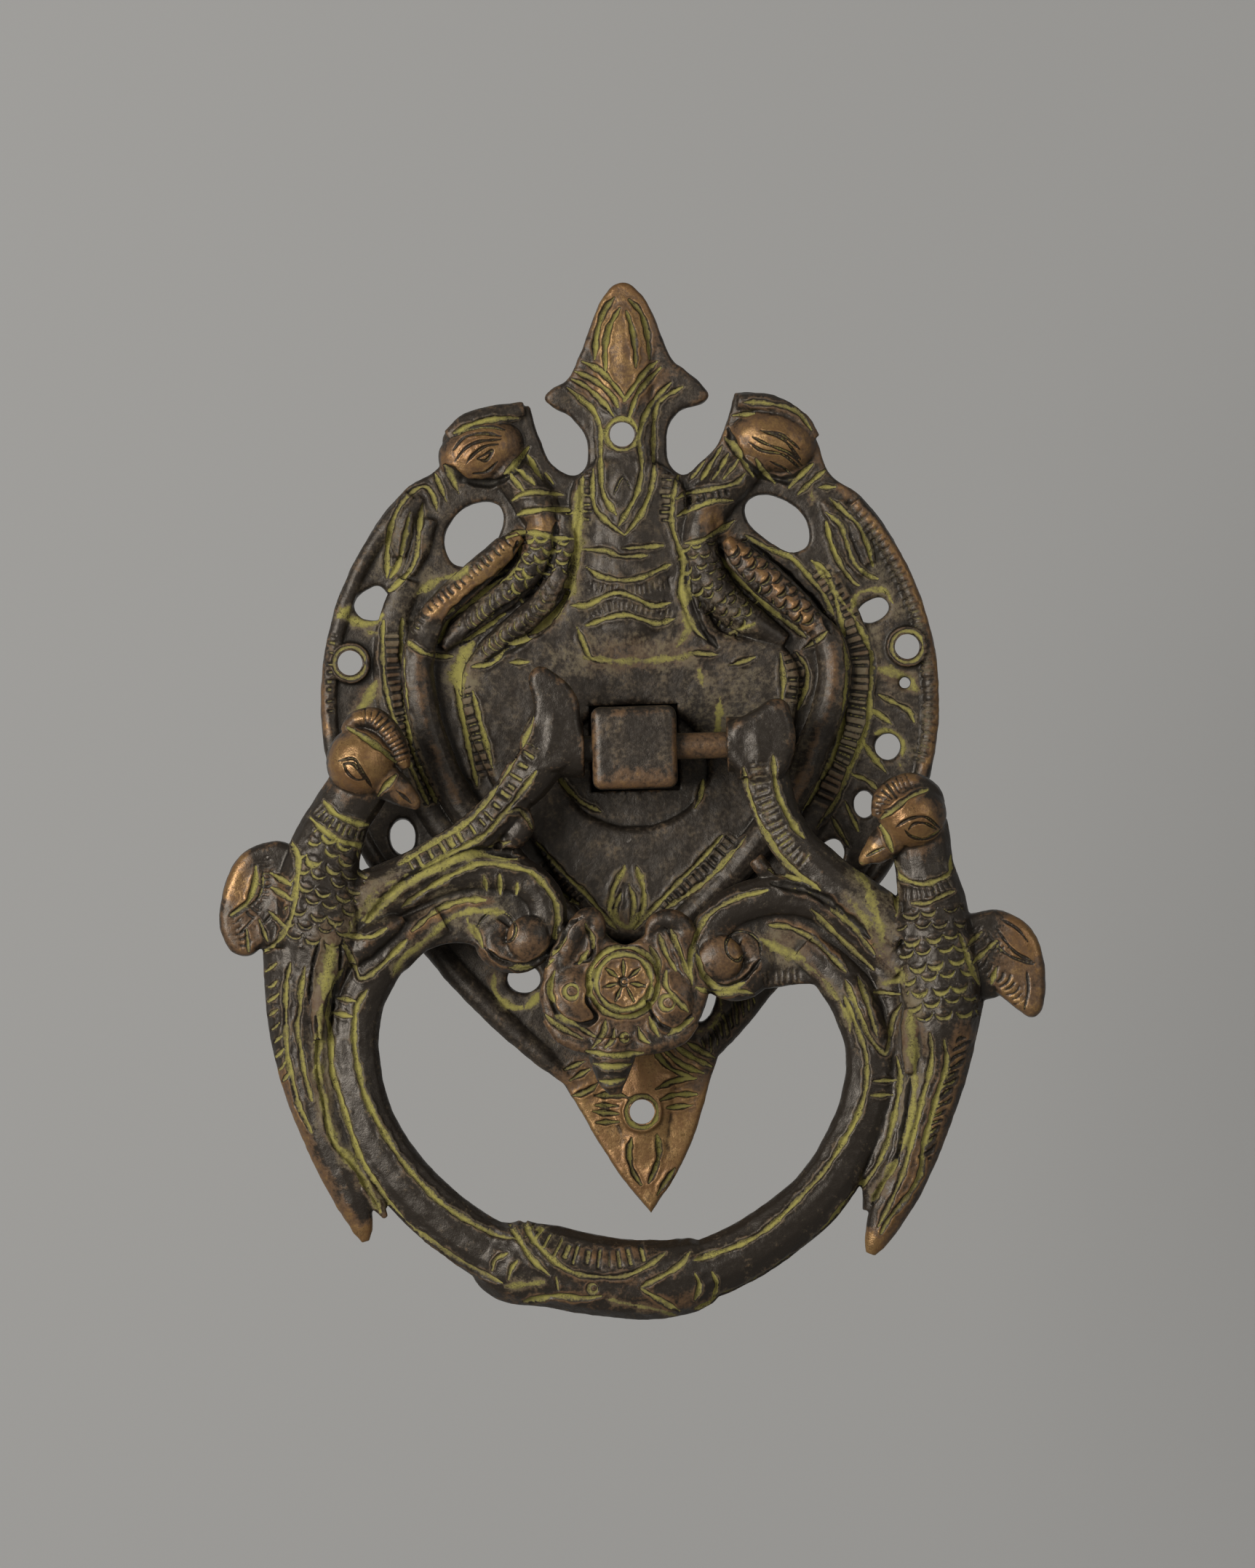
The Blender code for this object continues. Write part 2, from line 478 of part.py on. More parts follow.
def ring_shapes():
    """The lumps, slabs and cords that make up the ring, around the pin's axis."""
    hoop = [(-31, -26, 0.7), (-38.5, -30, 0.9), (-43.5, -36, 1), (-45.5, -42.5, 1), (-45.5, -49.5, 1),
            (-44, -56.5, 1), (-41, -63, 1.05), (-36, -69.5, 1.08), (-30, -75, 1.1), (-23.5, -79, 1.15),
            (-7.5, -82.5, 1.2), (5.5, -83, 1.15), (13.5, -80.5, 1.12), (21, -76, 1.08),
            (27.5, -70.5, 1.05), (32, -63.5, 1), (35, -56.5, 1), (36, -49.5, 1), (34.5, -43, 1),
            (31, -37, 0.9), (25.5, -32, 0.7)]
    pad = [(-25.5, -77, 0.65), (-23.8, -78.5, 0.92), (-21.5, -80, 1.05), (-15.25, -81.25, 1.02),
           (-7.5, -83, 0.98), (0.75, -83.75, 0.98), (5.5, -83.25, 0.94), (8, -82.5, 0.86), (10, -81.75, 0.68)]
    joint_left = [(-49, -33.5), (-50, -41.5), (-49, -50.5), (-46.5, -59), (-42.5, -66.5)]
    joint_right = [(38, -35.5), (39.5, -40), (40, -46), (40, -54.5), (38, -62), (35, -69)]
    shapes = [
        cord(thickened(hoop, RING_SCALE, HOOP_RADIUS), 0, RING_SQUEEZE),
        cord(thickened(pad, RING_SCALE, PAD_RADIUS), 0, RING_SQUEEZE),
    ]
    for joint in (joint_left, joint_right):
        path = [(across, up, 1) for across, up in joint]
        shapes.append(cord(thickened(path, RING_SCALE, FILLET_RADIUS)))

    inner_left = -LUG_WIDTH / 2 - PLAY_LEFT
    inner_right = LUG_WIDTH / 2 + PLAY_RIGHT
    hood_left = [(inner_left - 7.4, 13), (inner_left - 3.6, 11.6), (inner_left - 1, 8.5),
                 (inner_left - 0.4, 5), (inner_left - 0.5, 0), (inner_left - 2.5, -2.5),
                 (inner_left - 7.8, -3.2), (inner_left - 10, 0.3), (inner_left - 7.8, 6)]
    hood_right = [(inner_right + 0.6, 3), (inner_right + 4, 5), (inner_right + 8.5, 7),
                  (inner_right + 10, 5), (inner_right + 10, -3), (inner_right + 7, -6),
                  (inner_right + 0.8, -3.5)]
    roll_left = [(inner_left - 5, 8.25, 2.6), (inner_left - 4.6, 5, 4.2), (inner_left - 5.3, 1, 4.1),
                 (inner_left - 7.5, -3, 3.7), (inner_left - 10.5, -6.5, 3.4)]
    roll_right = [(inner_right + 9.4, 6.25, 0.7), (inner_right + 8.4, 4.6, 2.2), (inner_right + 7, 3.2, 3.4),
                  (inner_right + 5, 1, 4.1), (inner_right + 4.8, -1, 4.1), (inner_right + 5, -5.25, 3.7)]
    shapes += [
        barrel(inner_left - KNUCKLE_LEFT, inner_left, KNUCKLE_RADIUS),
        barrel(inner_right, inner_right + KNUCKLE_RIGHT, KNUCKLE_RADIUS),
        slab(hood_left, 1.5, KNUCKLE_RADIUS, (), 1.2),
        slab(hood_right, -2.5, KNUCKLE_RADIUS, (), 1.5),
        cord(roll_left, 0.6),
        cord(roll_right, 0.8),
    ]
    arm_left = [(-16, -2, 1), (-20.5, -8.5, 0.95), (-28.5, -15, 0.95), (-36.5, -19.5, 1.05),
                (-44.5, -23, 1.25)]
    arm_right = [(20.5, -5.5, 1.05), (24, -15, 1), (29, -20.5, 1.05), (35, -25.5, 1.15),
                 (41.5, -31, 1.25)]
    for start, arm in (((inner_left - 3.5, 4.5), arm_left), ((inner_right + 5.3, 1.5), arm_right)):
        path = [(*start, 1.1 * ARM_RADIUS)] + thickened(arm, RING_SCALE, ARM_RADIUS)
        shapes.append(cord(path, 0.3))

    scroll_left = [(-47, -28.5, 4.5), (-40, -23, 4), (-32, -19.5, 3.6), (-24, -18.5, 3.4),
                   (-17.5, -20.5, 3.2), (-14.5, -25.5, 3.2), (-16.5, -30.5, 3), (-21, -32, 2.9),
                   (-23.5, -29.5, 2.6), (-21.5, -27, 2.4)]
    scroll_right = [(41.5, -35.5, 4.5), (34.5, -28.5, 4), (26.5, -24.5, 3.6), (18.5, -24.5, 3.4),
                    (12.5, -27.5, 3.2), (10.5, -32, 3.2), (12.5, -36.5, 3), (16.5, -37, 3),
                    (18.5, -33.5, 2.7), (15.5, -32, 2.5)]
    web_left = [(-41, -25), (-27.5, -19.5), (-16, -21.5), (-15, -28.5), (-21, -33), (-27.5, -30),
                (-32.5, -30.5), (-39, -34)]
    web_right = [(12, -26.5), (25.5, -23.5), (37, -30), (33, -39.5), (26.5, -38), (19, -38.5),
                 (13, -38), (10, -33.5)]
    for scroll, web in ((scroll_left, web_left), (scroll_right, web_right)):
        shapes.append(cord(grown(scroll, RING_SCALE), 0, RING_SQUEEZE))
        shapes.append(slab(grown(web, RING_SCALE), -2.2, 1.2))

    boss = [(-9, -26.5), (-2.5, -31), (4.5, -27.5), (9, -31.5), (9.3, -42.5), (2.5, -47.5),
            (-9.5, -47.5), (-15.5, -42), (-14.5, -33)]
    drop = [(-4.8, -45.5, 4.2), (-5, -49, 3.6), (-5, -52, 2.5), (-4.6, -54.5, 1)]
    rosette = oval(-3 * RING_SCALE, -37 * RING_SCALE, ROSETTE_RADIUS, ROSETTE_RADIUS)
    shapes += [
        slab(grown(boss, RING_SCALE), -2.6, 3, (), 1.2),
        slab(rosette, 0, 4.2, (), 0.6),
        cord(grown(drop, RING_SCALE), 0.8, 0.9),
    ]
    ear_left = [(-13, -35, 0.6), (-11.25, -31.25, 1.6), (-9.5, -27.75, 1.8), (-7.5, -26.5, 1.6),
                (-6.75, -29, 1.5), (-7.5, -31.75, 1.4), (-8.75, -33.5, 0.7)]
    ear_right = [(1.25, -30, 0.7), (2.5, -27.75, 1.5), (5.25, -27.25, 1.7), (7, -28.75, 1.6),
                 (6.5, -31.5, 1.6), (7.5, -35.5, 1.4), (8, -38.5, 0.7)]
    chin = [(-15.25, -42.25, 0.6), (-13, -45, 1.2), (-9.75, -46.5, 1.4), (-2.5, -47.25, 1.4),
            (5.75, -45.75, 1.3), (8.5, -43.5, 0.6)]
    for path, out in ((ear_left, 2.2), (ear_right, 2.2), (chin, 2)):
        shapes.append(cord(grown(path, RING_SCALE), out))
    cheeks = [((-10.5, -39.25, 3.9, 5.4), 2, 2.5, 10), ((4.75, -40.25, 3.8, 5.4), 2, 2.5, -10)]
    curls = [((-17.5, -29.5, 3.4, 3.6), 2.2, 2, 0), ((12.5, -33.5, 3.6, 3.6), 2.2, 2, 0)]
    wing_roots = [((-56.5, -22.5, 5, 7.4), -0.3, 3.4, 0), ((-56.5, -28, 3.5, 3.5), -0.3, 3, 0),
                  ((53, -34.5, 4.5, 7), -0.3, 3.4, 20), ((51.5, -39, 3, 3.5), -0.3, 3, 20)]
    for lobe, out, deep, tilt in cheeks + curls + wing_roots:
        across, up, wide, tall = (value * RING_SCALE for value in lobe)
        shapes.append(lump(across, up, out, wide, tall, deep, tilt))
    barb = [(-44.5, -67.75, 1.6), (-42.5, -70.5, 1.2), (-41.25, -72.75, 0.5)]
    pod_left = [(-48.5, -29, 1), (-48.75, -31.5, 1.6), (-49.75, -35.5, 1.5), (-50.75, -39.5, 1.2),
                (-51, -44.5, 0.7)]
    pod_right = [(42, -42.25, 1), (42.25, -45, 1.8), (42, -48.5, 1.4), (41.75, -52.5, 0.8)]
    leaf_left = [(-45.25, -32.75, 0.7), (-43.75, -30.5, 2.1), (-41.75, -28.5, 2.3), (-38.75, -26.75, 1.6),
                 (-37, -25.75, 0.6)]
    leaf_right = [(32.75, -37.25, 0.9), (34, -40, 1.8), (35.5, -43, 2.1), (37, -46, 1.4), (37.75, -48.5, 0.5)]
    arm_leaf_left = [(-21.25, -15, 0.7), (-19.25, -13.5, 2.1), (-18, -11.5, 2.1), (-17.5, -9.25, 0.9)]
    arm_leaf_right = [(21.25, -21, 0.7), (19.75, -19.75, 1.4), (18.5, -18, 1.2)]
    for path, out in ((barb, 1), (pod_left, 4.4), (pod_right, 3.4), (leaf_left, 3), (leaf_right, 2.6),
                      (arm_leaf_left, 0.5), (arm_leaf_right, 0.5)):
        shapes.append(cord(grown(path, RING_SCALE), out))

    shapes += ring_bird((-43, -1),
                        [(-45.5, 3.75, 0.8), (-43.5, 5.5, 1.6), (-40.75, 5.5, 2), (-38.25, 3, 2),
                         (-36.75, -0.25, 1.5), (-36, -2.25, 0.8)],
                        [(-39.25, -4, 3), (-36.5, -6.25, 2.2), (-34.7, -8, 1), (-34.4, -8.6, 0.5)],
                        [(-42.75, -1.5, 3), (-43.5, -4.75, 4.9), (-46.25, -9, 4.9), (-49.25, -15.5, 5.9),
                         (-50.25, -21.75, 7), (-50.5, -28.5, 6.8), (-52.25, -36.5, 5)],
                        [(-53.5, -30, 6), (-54, -41, 5), (-52.25, -52.5, 4.3), (-48.75, -63, 3.8),
                         (-46.25, -70, 2.9), (-44.9, -74.5, 1.7), (-44.5, -76.5, 0.7)],
                        [(-55.5, -13.25), (-59.25, -13.5), (-62.5, -15.25), (-64.5, -18.5), (-65.75, -22.5),
                         (-66, -25.75), (-65.25, -28.5), (-63.75, -30.5), (-61.5, -31), (-59.5, -29.75),
                         (-55, -28.5), (-52.5, -21.5), (-52.75, -16)])
    shapes += ring_bird((43.25, -11.75),
                        [(37.5, -12, 0.7), (38.5, -9.5, 1.6), (40.75, -7.75, 2), (44, -7.25, 2),
                         (46.5, -8.5, 1.5), (48, -10.25, 0.7)],
                        [(40.25, -15, 3), (37.5, -17.25, 2.3), (35.5, -18.75, 1), (35, -19.5, 0.5)],
                        [(43.75, -10.5, 3), (44.25, -13.5, 4.8), (45, -20, 4.7), (46, -25.5, 5.4),
                         (46.5, -32.5, 6.4), (47, -39.5, 6.5), (47, -46.5, 5.5)],
                        [(48, -40.5, 6), (46.2, -50.75, 5.2), (43.5, -60, 4.5), (40.2, -69, 3.8),
                         (37.2, -75.25, 2.9), (35.4, -79.25, 1.7), (34.7, -80.75, 0.8)],
                        [(50.5, -28.25), (53.25, -27.5), (56.5, -27.25), (59.75, -28.75), (62.25, -31.5),
                         (63.25, -34.75), (63.5, -38.25), (63.25, -41.25), (62.5, -43.5), (61.25, -44.25),
                         (59.5, -43.25), (57, -41.25), (54.5, -39.25), (52, -37.75), (49.25, -32.75)])
    return shapes


def knocker_ring(collection, cutters, axis):
    """The ring casting, with the pin's bore through its two knuckles."""
    thing = casting("knocker_ring", ring_shapes(), RING_TRIANGLES, collection)
    thing.parent = axis
    middle = pin_middle()
    reach = PIN_LENGTH / 2 + KNUCKLE_LEFT
    bore = barrel(middle - reach, middle + reach, PIN_DIAMETER / 2 + FIT)
    cut(thing, bore, cutters, "knuckle_bore")
    finish(thing, brass("ring_brass", (0.07, 0.052, 0.034), 0.45))
    return thing


def main():
    """Clear the file and build the knocker."""
    for thing in list(bpy.data.objects):
        bpy.data.objects.remove(thing)
    collection = bpy.data.collections.new("door_knocker")
    cutters = bpy.data.collections.new("cutters")
    bpy.context.scene.collection.children.link(collection)
    bpy.context.scene.collection.children.link(cutters)
    axis = bpy.data.objects.new("pin_axis", None)
    axis.location = spot(0, 0, PIN_DEPTH)
    collection.objects.link(axis)
    back_plate(collection, cutters)
    hinge_lug(collection, cutters)
    hinge_pin(collection, axis)
    knocker_ring(collection, cutters, axis)


main()
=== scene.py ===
"""The dressed door knocker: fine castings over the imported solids, with their finishes, stage and camera.

Sizes are in millimetres: across is +X, up is +Z and out, away from the door, is -Y.  The origin lies on the
door, behind the middle of the lug, and every mark is placed across and up from it.
"""
import math

import bmesh
import bpy
import numpy as np
from mathutils import Matrix, Vector


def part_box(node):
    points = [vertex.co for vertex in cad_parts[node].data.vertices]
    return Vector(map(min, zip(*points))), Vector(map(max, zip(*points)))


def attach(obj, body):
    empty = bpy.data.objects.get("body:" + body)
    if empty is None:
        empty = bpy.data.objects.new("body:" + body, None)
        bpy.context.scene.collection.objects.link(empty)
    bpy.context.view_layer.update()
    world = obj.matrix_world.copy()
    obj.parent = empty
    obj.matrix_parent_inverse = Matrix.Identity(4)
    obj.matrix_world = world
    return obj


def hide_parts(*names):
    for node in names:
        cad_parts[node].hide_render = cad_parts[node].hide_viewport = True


bl_info = {
    "name": "Door knocker",
    "version": (1, 0, 0),
    "blender": (4, 5, 0),
    "location": "View3D > Sidebar > Knocker",
    "description": "Builds a cast brass door knocker with a bird ring around its packed solids",
    "category": "Object",
}

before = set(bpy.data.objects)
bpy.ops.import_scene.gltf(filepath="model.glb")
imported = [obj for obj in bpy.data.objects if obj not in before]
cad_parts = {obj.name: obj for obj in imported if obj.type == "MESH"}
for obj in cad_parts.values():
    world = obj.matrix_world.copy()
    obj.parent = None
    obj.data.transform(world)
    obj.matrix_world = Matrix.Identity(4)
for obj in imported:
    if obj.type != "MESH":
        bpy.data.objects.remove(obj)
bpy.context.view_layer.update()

MM = 0.001
LUG_LOW, LUG_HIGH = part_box("hinge_lug")
PIN_LOW, PIN_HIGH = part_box("hinge_pin")
PIN_DEPTH = -(PIN_LOW.y + PIN_HIGH.y) / 2 / MM
PIN_RADIUS = (PIN_HIGH.z - PIN_LOW.z) / 2 / MM
PIN_LEFT, PIN_RIGHT = PIN_LOW.x / MM, PIN_HIGH.x / MM
LUG_HALF = LUG_HIGH.x / MM
LUG_RISE = LUG_HIGH.z / MM
LUG_FRONT = -LUG_LOW.y / MM
LUG_EDGE = 1.5
FIT = 0.3

# The plate
RIM_RADIUS = 48.8
RIM_CENTRE = (-0.5, 7.3)
RIM_LEFT_ARC = (135, 215)
RIM_RIGHT_ARC = (-40, 40)
RIM_THICKNESS = 3.5
RIM_CORD = 1.3
FIELD_HEIGHT = 5.5
HOLLOW_MIDDLE = (0, -3)
HOLLOW_FLOOR = 4.3
RIDGE_HEIGHT = 8.0
RIDGE_RADIUS = 2.7
BAND_RADIUS = 2.2
BIRD_HEIGHT = 7.5
BIRD_TILT = 15
TAIL_HEIGHT = 5.2
SCREW_HOLE = 4.0
SCREW_COLLAR = 6.4
SCREW_REACH = 44
SCREW_TOP = 49.5
SCREW_TAIL = -57.5
SCREW_LEVEL = 14.7
COLLAR_HEIGHT = 5.0
BEDDED = 0.2
SUNK = 0.8
BEHIND = 2.0

# The ring
ARM_RADIUS = 3.6
HOOP_RADIUS = 4.3
FILLET_RADIUS = 2.6
HEAD_RADIUS = 5.5
HEAD_OUT = 3.2
CREST_OUT = 3.4
WING_BACK = 3.2
WING_FRONT = 2.6
WING_ROUND = 1.4
RING_SQUEEZE = 0.85
KNUCKLE_RADIUS = 4.4
KNUCKLE_LEFT = 8.0
KNUCKLE_RIGHT = 9.5
INNER_LEFT = PIN_LEFT + KNUCKLE_LEFT
INNER_RIGHT = PIN_RIGHT - KNUCKLE_RIGHT
ROSETTE = (-2.75, -36.75)
ROSETTE_HALF = 5.2
ROSETTE_RINGS = (4.4, 5.5)
PETALS = 7
PETAL_SPAN = (1.1, 3.4)
EYES = [(-11, -38, 1.1), (4, -40.25, 1.1), (-2.75, -45.5, 0.6), (-9, -84.75, 0.7)]

# How the skins are made: points, softening rounds and the uneven wax
TRIANGLES = 260000
LUG_GRAIN = 0.25
PIN_GRAIN = 0.2
SOFTENING = 3
LUG_SOFTENING = 4
WAX = 0.3
LUG_WAX = 0.15
WAX_BUMPS = 3.5
WAX_GRAINS = 1.1

# How the marks are worked: width of a groove, its fill of verdigris on each casting, and fading at its edge
GROOVE = 0.9
PLATE_FILL = 0.82
RING_FILL = 0.92
EDGE_FADE = 0.35
FILL_SPAN = 0.4
OUTSIDE = 3.0
UNBROKEN = 10 ** 6

# How each piece has aged: wear on its edges, dust all over, gloss, and where its skin turns paler
PLATE_AGE = {"edge_wear": 0.36, "dusty": 0.1}
LUG_AGE = {"edge_wear": 0.12, "dusty": 0.08}
PIN_AGE = {"edge_wear": 0.3, "dusty": 0.05}
RING_AGE = {"edge_wear": 0.42, "dusty": 0.06}
PLATE_SKIN = {"gloss": 0.37, "paler": 0.75}
LUG_SKIN = {"gloss": 0.33, "paler": 0.75}
PIN_SKIN = {"gloss": 0.3, "paler": 0.7}
RING_SKIN = {"gloss": 0.31, "paler": 1.0}

# The aged brass: bumps to the metre of its noises, and where each layer starts and is full
GRIT, GRAIN, BLOTCH, CLOUD = 4200, 1700, 420, 90
WARM_STEP = (1.14, 1.56)
WORN_STEP = (1.5, 1.94)
GREEN_STEP = (1.26, 1.37)
PITS_STEP = (1.0, 1.16)
TAN_STEP = (1.62, 2.4)
PAINTED_SHADE_STEP = (0.1, 1.0)
GROOVE_SHADE_AND_GRIME_STEP = (0.68, 0.84)
POWDER_STEP = (1.2, 1.75)
BRASSY_STEP = (1.25, 1.8)
YELLOW_STEP = (1.42, 1.95)
PALE_SPAN = 0.45
MATT_SPAN = 0.14
SPECULAR_LEVEL = 0.42
SPECULAR_TINT = (1.0, 0.89, 0.76, 1)
WORN_METAL = 0.55
SKIN_BUMP = 0.42
SKIN_DEPTH = 0.13

# The photograph's camera
PHOTO_TALL = 2156
PHOTO_SCALE = 0.115
PHOTO_TURN = math.radians(1.69)
PHOTO_CENTRE = (-1.26, -5.7)
CAMERA_FAR = 3000.0
SENSOR = 36.0

# The stage: the paper is so many millimetres behind the door, and the rest is in metres and watts
PAPER_BEHIND = 300.0
PAPER_HALF = 1.2
SKY_LEVEL = 0.24
LEFT_LAMP = {"place": (-0.6, -0.75, 0.12), "size": 0.55, "power": 11.2}
RIGHT_LAMP = {"place": (0.8, -0.9, 0.3), "size": 0.5, "power": 2.0}

# Spots worn bright on the lug and the pin: across, up, half sizes, tilt and amount
LUG_WORN = [
    (0, -5.2, 6.5, 2.2, 0, 0.62), (-6.2, -1, 0.8, 6, 0, 0.5), (6.3, 0, 0.5, 5, 0, 0.5),
    (0, 5.4, 4, 0.8, 0, 0.4),
]
PIN_WORN = [(11, 0, 6, 3, 0, 0.62)]

# Marks on the plate: grooves, group by group
PLATE_FINIAL_LINES = [
    [(-1, 71.25), (-2.75, 69), (-4, 65.5), (-4.5, 61.5)],
    [(-0.25, 69.5), (-2, 66.5), (-2.75, 63.25), (-2.75, 59.75)],
    [(0.75, 69), (1.5, 66.5), (2, 63), (2, 60)],
    [(1.25, 70.75), (3, 68.75), (4, 65.25), (4.25, 61.25)],
    [(-6.5, 61.25), (-3.75, 59.75), (-1.5, 57.25), (0, 55.25)],
    [(-7.75, 59.75), (-4.75, 58.25), (-2, 55.75), (-1, 53.75)],
    [(-8.25, 58.5), (-6, 57.25), (-3.25, 54.5), (-1.75, 52.5)],
    [(5.5, 61), (3.25, 59), (1.5, 56.75), (0, 54.75)],
    [(6, 60), (3.75, 57.75), (2, 55.5), (0.75, 52.25)],
    [(-9, 57.25), (-6.75, 55.25), (-5, 53.5), (-4, 50.5), (-4, 44.75), (-3.75, 40.25), (-1.75, 36.75)],
    [(7.5, 57.5), (4.75, 54.75), (3, 51.75), (2.25, 48.5), (2.5, 44.5), (1.5, 40), (-1.5, 35)],
    [(9.25, 56.75), (6.5, 55.25), (5, 53.5), (4.5, 48.75), (4.25, 42.5), (2.5, 37.5), (-0.5, 33.5)],
    [(-5.25, 44.25), (-5.25, 38.5), (-3.25, 35.75), (-0.5, 33.5)],
]
PLATE_COLUMN_LINES = [
    [(-7.25, 31.5), (-3.75, 31.25), (-1.25, 30.25), (3, 30.25)],
    [(-1, 31.5), (5.5, 31.75)],
    [(-6.75, 28.75), (-4.75, 27.25), (-1.5, 26.5), (1.75, 26.75), (6.5, 28.75)],
    [(-9.5, 22.75), (-6.75, 22.75), (-4, 24), (-1.75, 24.5), (1, 23.5), (3.75, 22.25), (6.5, 22.75)],
    [(-7, 19.5), (-4, 20.5), (-1, 21), (1.75, 20.25), (4.25, 19.5), (7.25, 20.25)],
    [(8.25, 43), (7.25, 39), (7, 35), (7.75, 32), (8.5, 29), (8, 24.25), (9, 20.75), (10.25, 18.25),
     (12, 16.5)],
    [(-7, 43.5), (-7.5, 36.5), (-8, 34.5), (-8.25, 29.25), (-9.75, 25), (-12.5, 21.5), (-14.5, 19.25),
     (-16.75, 17.75), (-19.25, 17)],
    [(-8.5, 19.25), (-7.25, 16), (-6.25, 14.25), (-3.25, 13.75)],
]
PLATE_LEFT_BIRD_LINES = [
    [(-27, 50.5), (-24.25, 51.75), (-20.75, 52.5), (-16.75, 52.5)],
    [(-30.25, 44.25), (-29.25, 41.75), (-28.5, 39.75)],
    [(-28.75, 45.5), (-27.5, 43.25), (-26.5, 41)],
    [(-15.25, 48), (-17.25, 45.75), (-19.25, 43.75)],
    [(-17.5, 45), (-14.5, 42)],
    [(-15.5, 46.75), (-13.25, 42.75)],
    [(-12.75, 43.75), (-11.5, 42)],
    [(-18.5, 43.75), (-16.25, 41)],
    [(-18.25, 39.5), (-16.5, 40.5), (-13.75, 40.75), (-10, 40.25)],
    [(-17.5, 37.25), (-15.75, 37.75), (-12, 38), (-8, 37.25)],
    [(-19.25, 33.75), (-17.25, 34.5), (-14.5, 34.25), (-11.5, 33.5), (-8.75, 33.25)],
    [(-17, 33), (-17.5, 30.25), (-19.25, 27.75), (-22.25, 25.75), (-25.75, 23.25), (-28.5, 21.25),
     (-30.5, 17.5)],
    [(-19.75, 21.75), (-22.5, 20), (-24.75, 18.5), (-26.5, 17.5)],
    [(-35.5, 18), (-33.25, 16.25), (-31.25, 15.5), (-28.25, 15.25)],
    [(-25.25, 13.5), (-22, 14), (-20, 16)],
    [(-19.25, 14), (-16.25, 14)],
]
PLATE_RIGHT_BIRD_LINES = [
    [(17, 52), (20.5, 52.25)],
    [(18.75, 54), (22.5, 53.75), (27, 52.5), (29.5, 49.25)],
    [(15.75, 48.5), (17.25, 46.5), (18.75, 44.25), (20, 42.25)],
    [(20.5, 45), (21.5, 43.25), (23.5, 41)],
    [(29.5, 44), (27.5, 42.25), (25.5, 40.25)],
    [(31.5, 43), (29.25, 41.25), (27, 39.25)],
    [(12.5, 45.25), (9.75, 41.75)],
    [(15.25, 47.25), (11.75, 42)],
    [(16.25, 46), (13.5, 42)],
    [(17.75, 45), (15.25, 42)],
    [(7.75, 39), (9.75, 40), (13.5, 40.5), (17.25, 41.25), (18.75, 42.75)],
    [(7.75, 36.25), (9.75, 37.25), (13.25, 38.5), (16.75, 38.5)],
    [(9, 32), (11.25, 32.25), (14.25, 33.75), (17, 35.5)],
    [(13.75, 31), (16, 27.5), (19, 24.25), (21.5, 21.75), (25, 18.75), (27.75, 16.5)],
    [(18.5, 33), (21.75, 31), (25.25, 29.5), (27.5, 27.25), (30.25, 23.5), (32, 20)],
    [(27, 14.75), (29.5, 16.25), (31, 17.5)],
    [(9, 14.75), (13.75, 14.25)],
    [(15.25, 12.5), (18, 13.25), (19.5, 13.75)],
]
PLATE_RIM_LINES = [
    [(-38.25, 28), (-38, 33), (-37, 37), (-35, 40.5), (-32.25, 42.25), (-30.75, 41), (-30, 38.25)],
    [(-37.75, 28), (-36.25, 30.5), (-35.25, 34), (-34.25, 38.25)],
    [(-38.5, 25.5), (-35, 28.5), (-33.5, 31.5), (-33, 35.5), (-32.25, 39.5)],
    [(32, 38.5), (34.25, 36.25), (36.5, 34), (37.75, 30.75), (38.5, 27.5)],
    [(31.25, 36.25), (33.5, 34.25), (34.25, 32), (35.5, 28.25), (37.5, 26.25), (39.25, 25.5)],
    [(31.25, 34.75), (32, 31.25), (33.5, 27.75), (35.25, 25.25), (36.25, 24.5)],
    [(30.25, 40.25), (33, 40.25)],
    [(38.75, 7.25), (41.5, 5.75), (43.5, 4.5), (44.25, 2.75)],
    [(37.5, 5), (39.25, 3.75), (40.75, 2.5)],
    [(36, 0), (38, -3), (39.75, -5.25)],
    [(34.25, -5.25), (36.5, -6.25), (38.5, -8)],
    [(33, -9.5), (34.25, -12.5), (35, -14.25)],
    [(30.75, -11.75), (32.25, -14.5), (33.5, -16.75)],
]
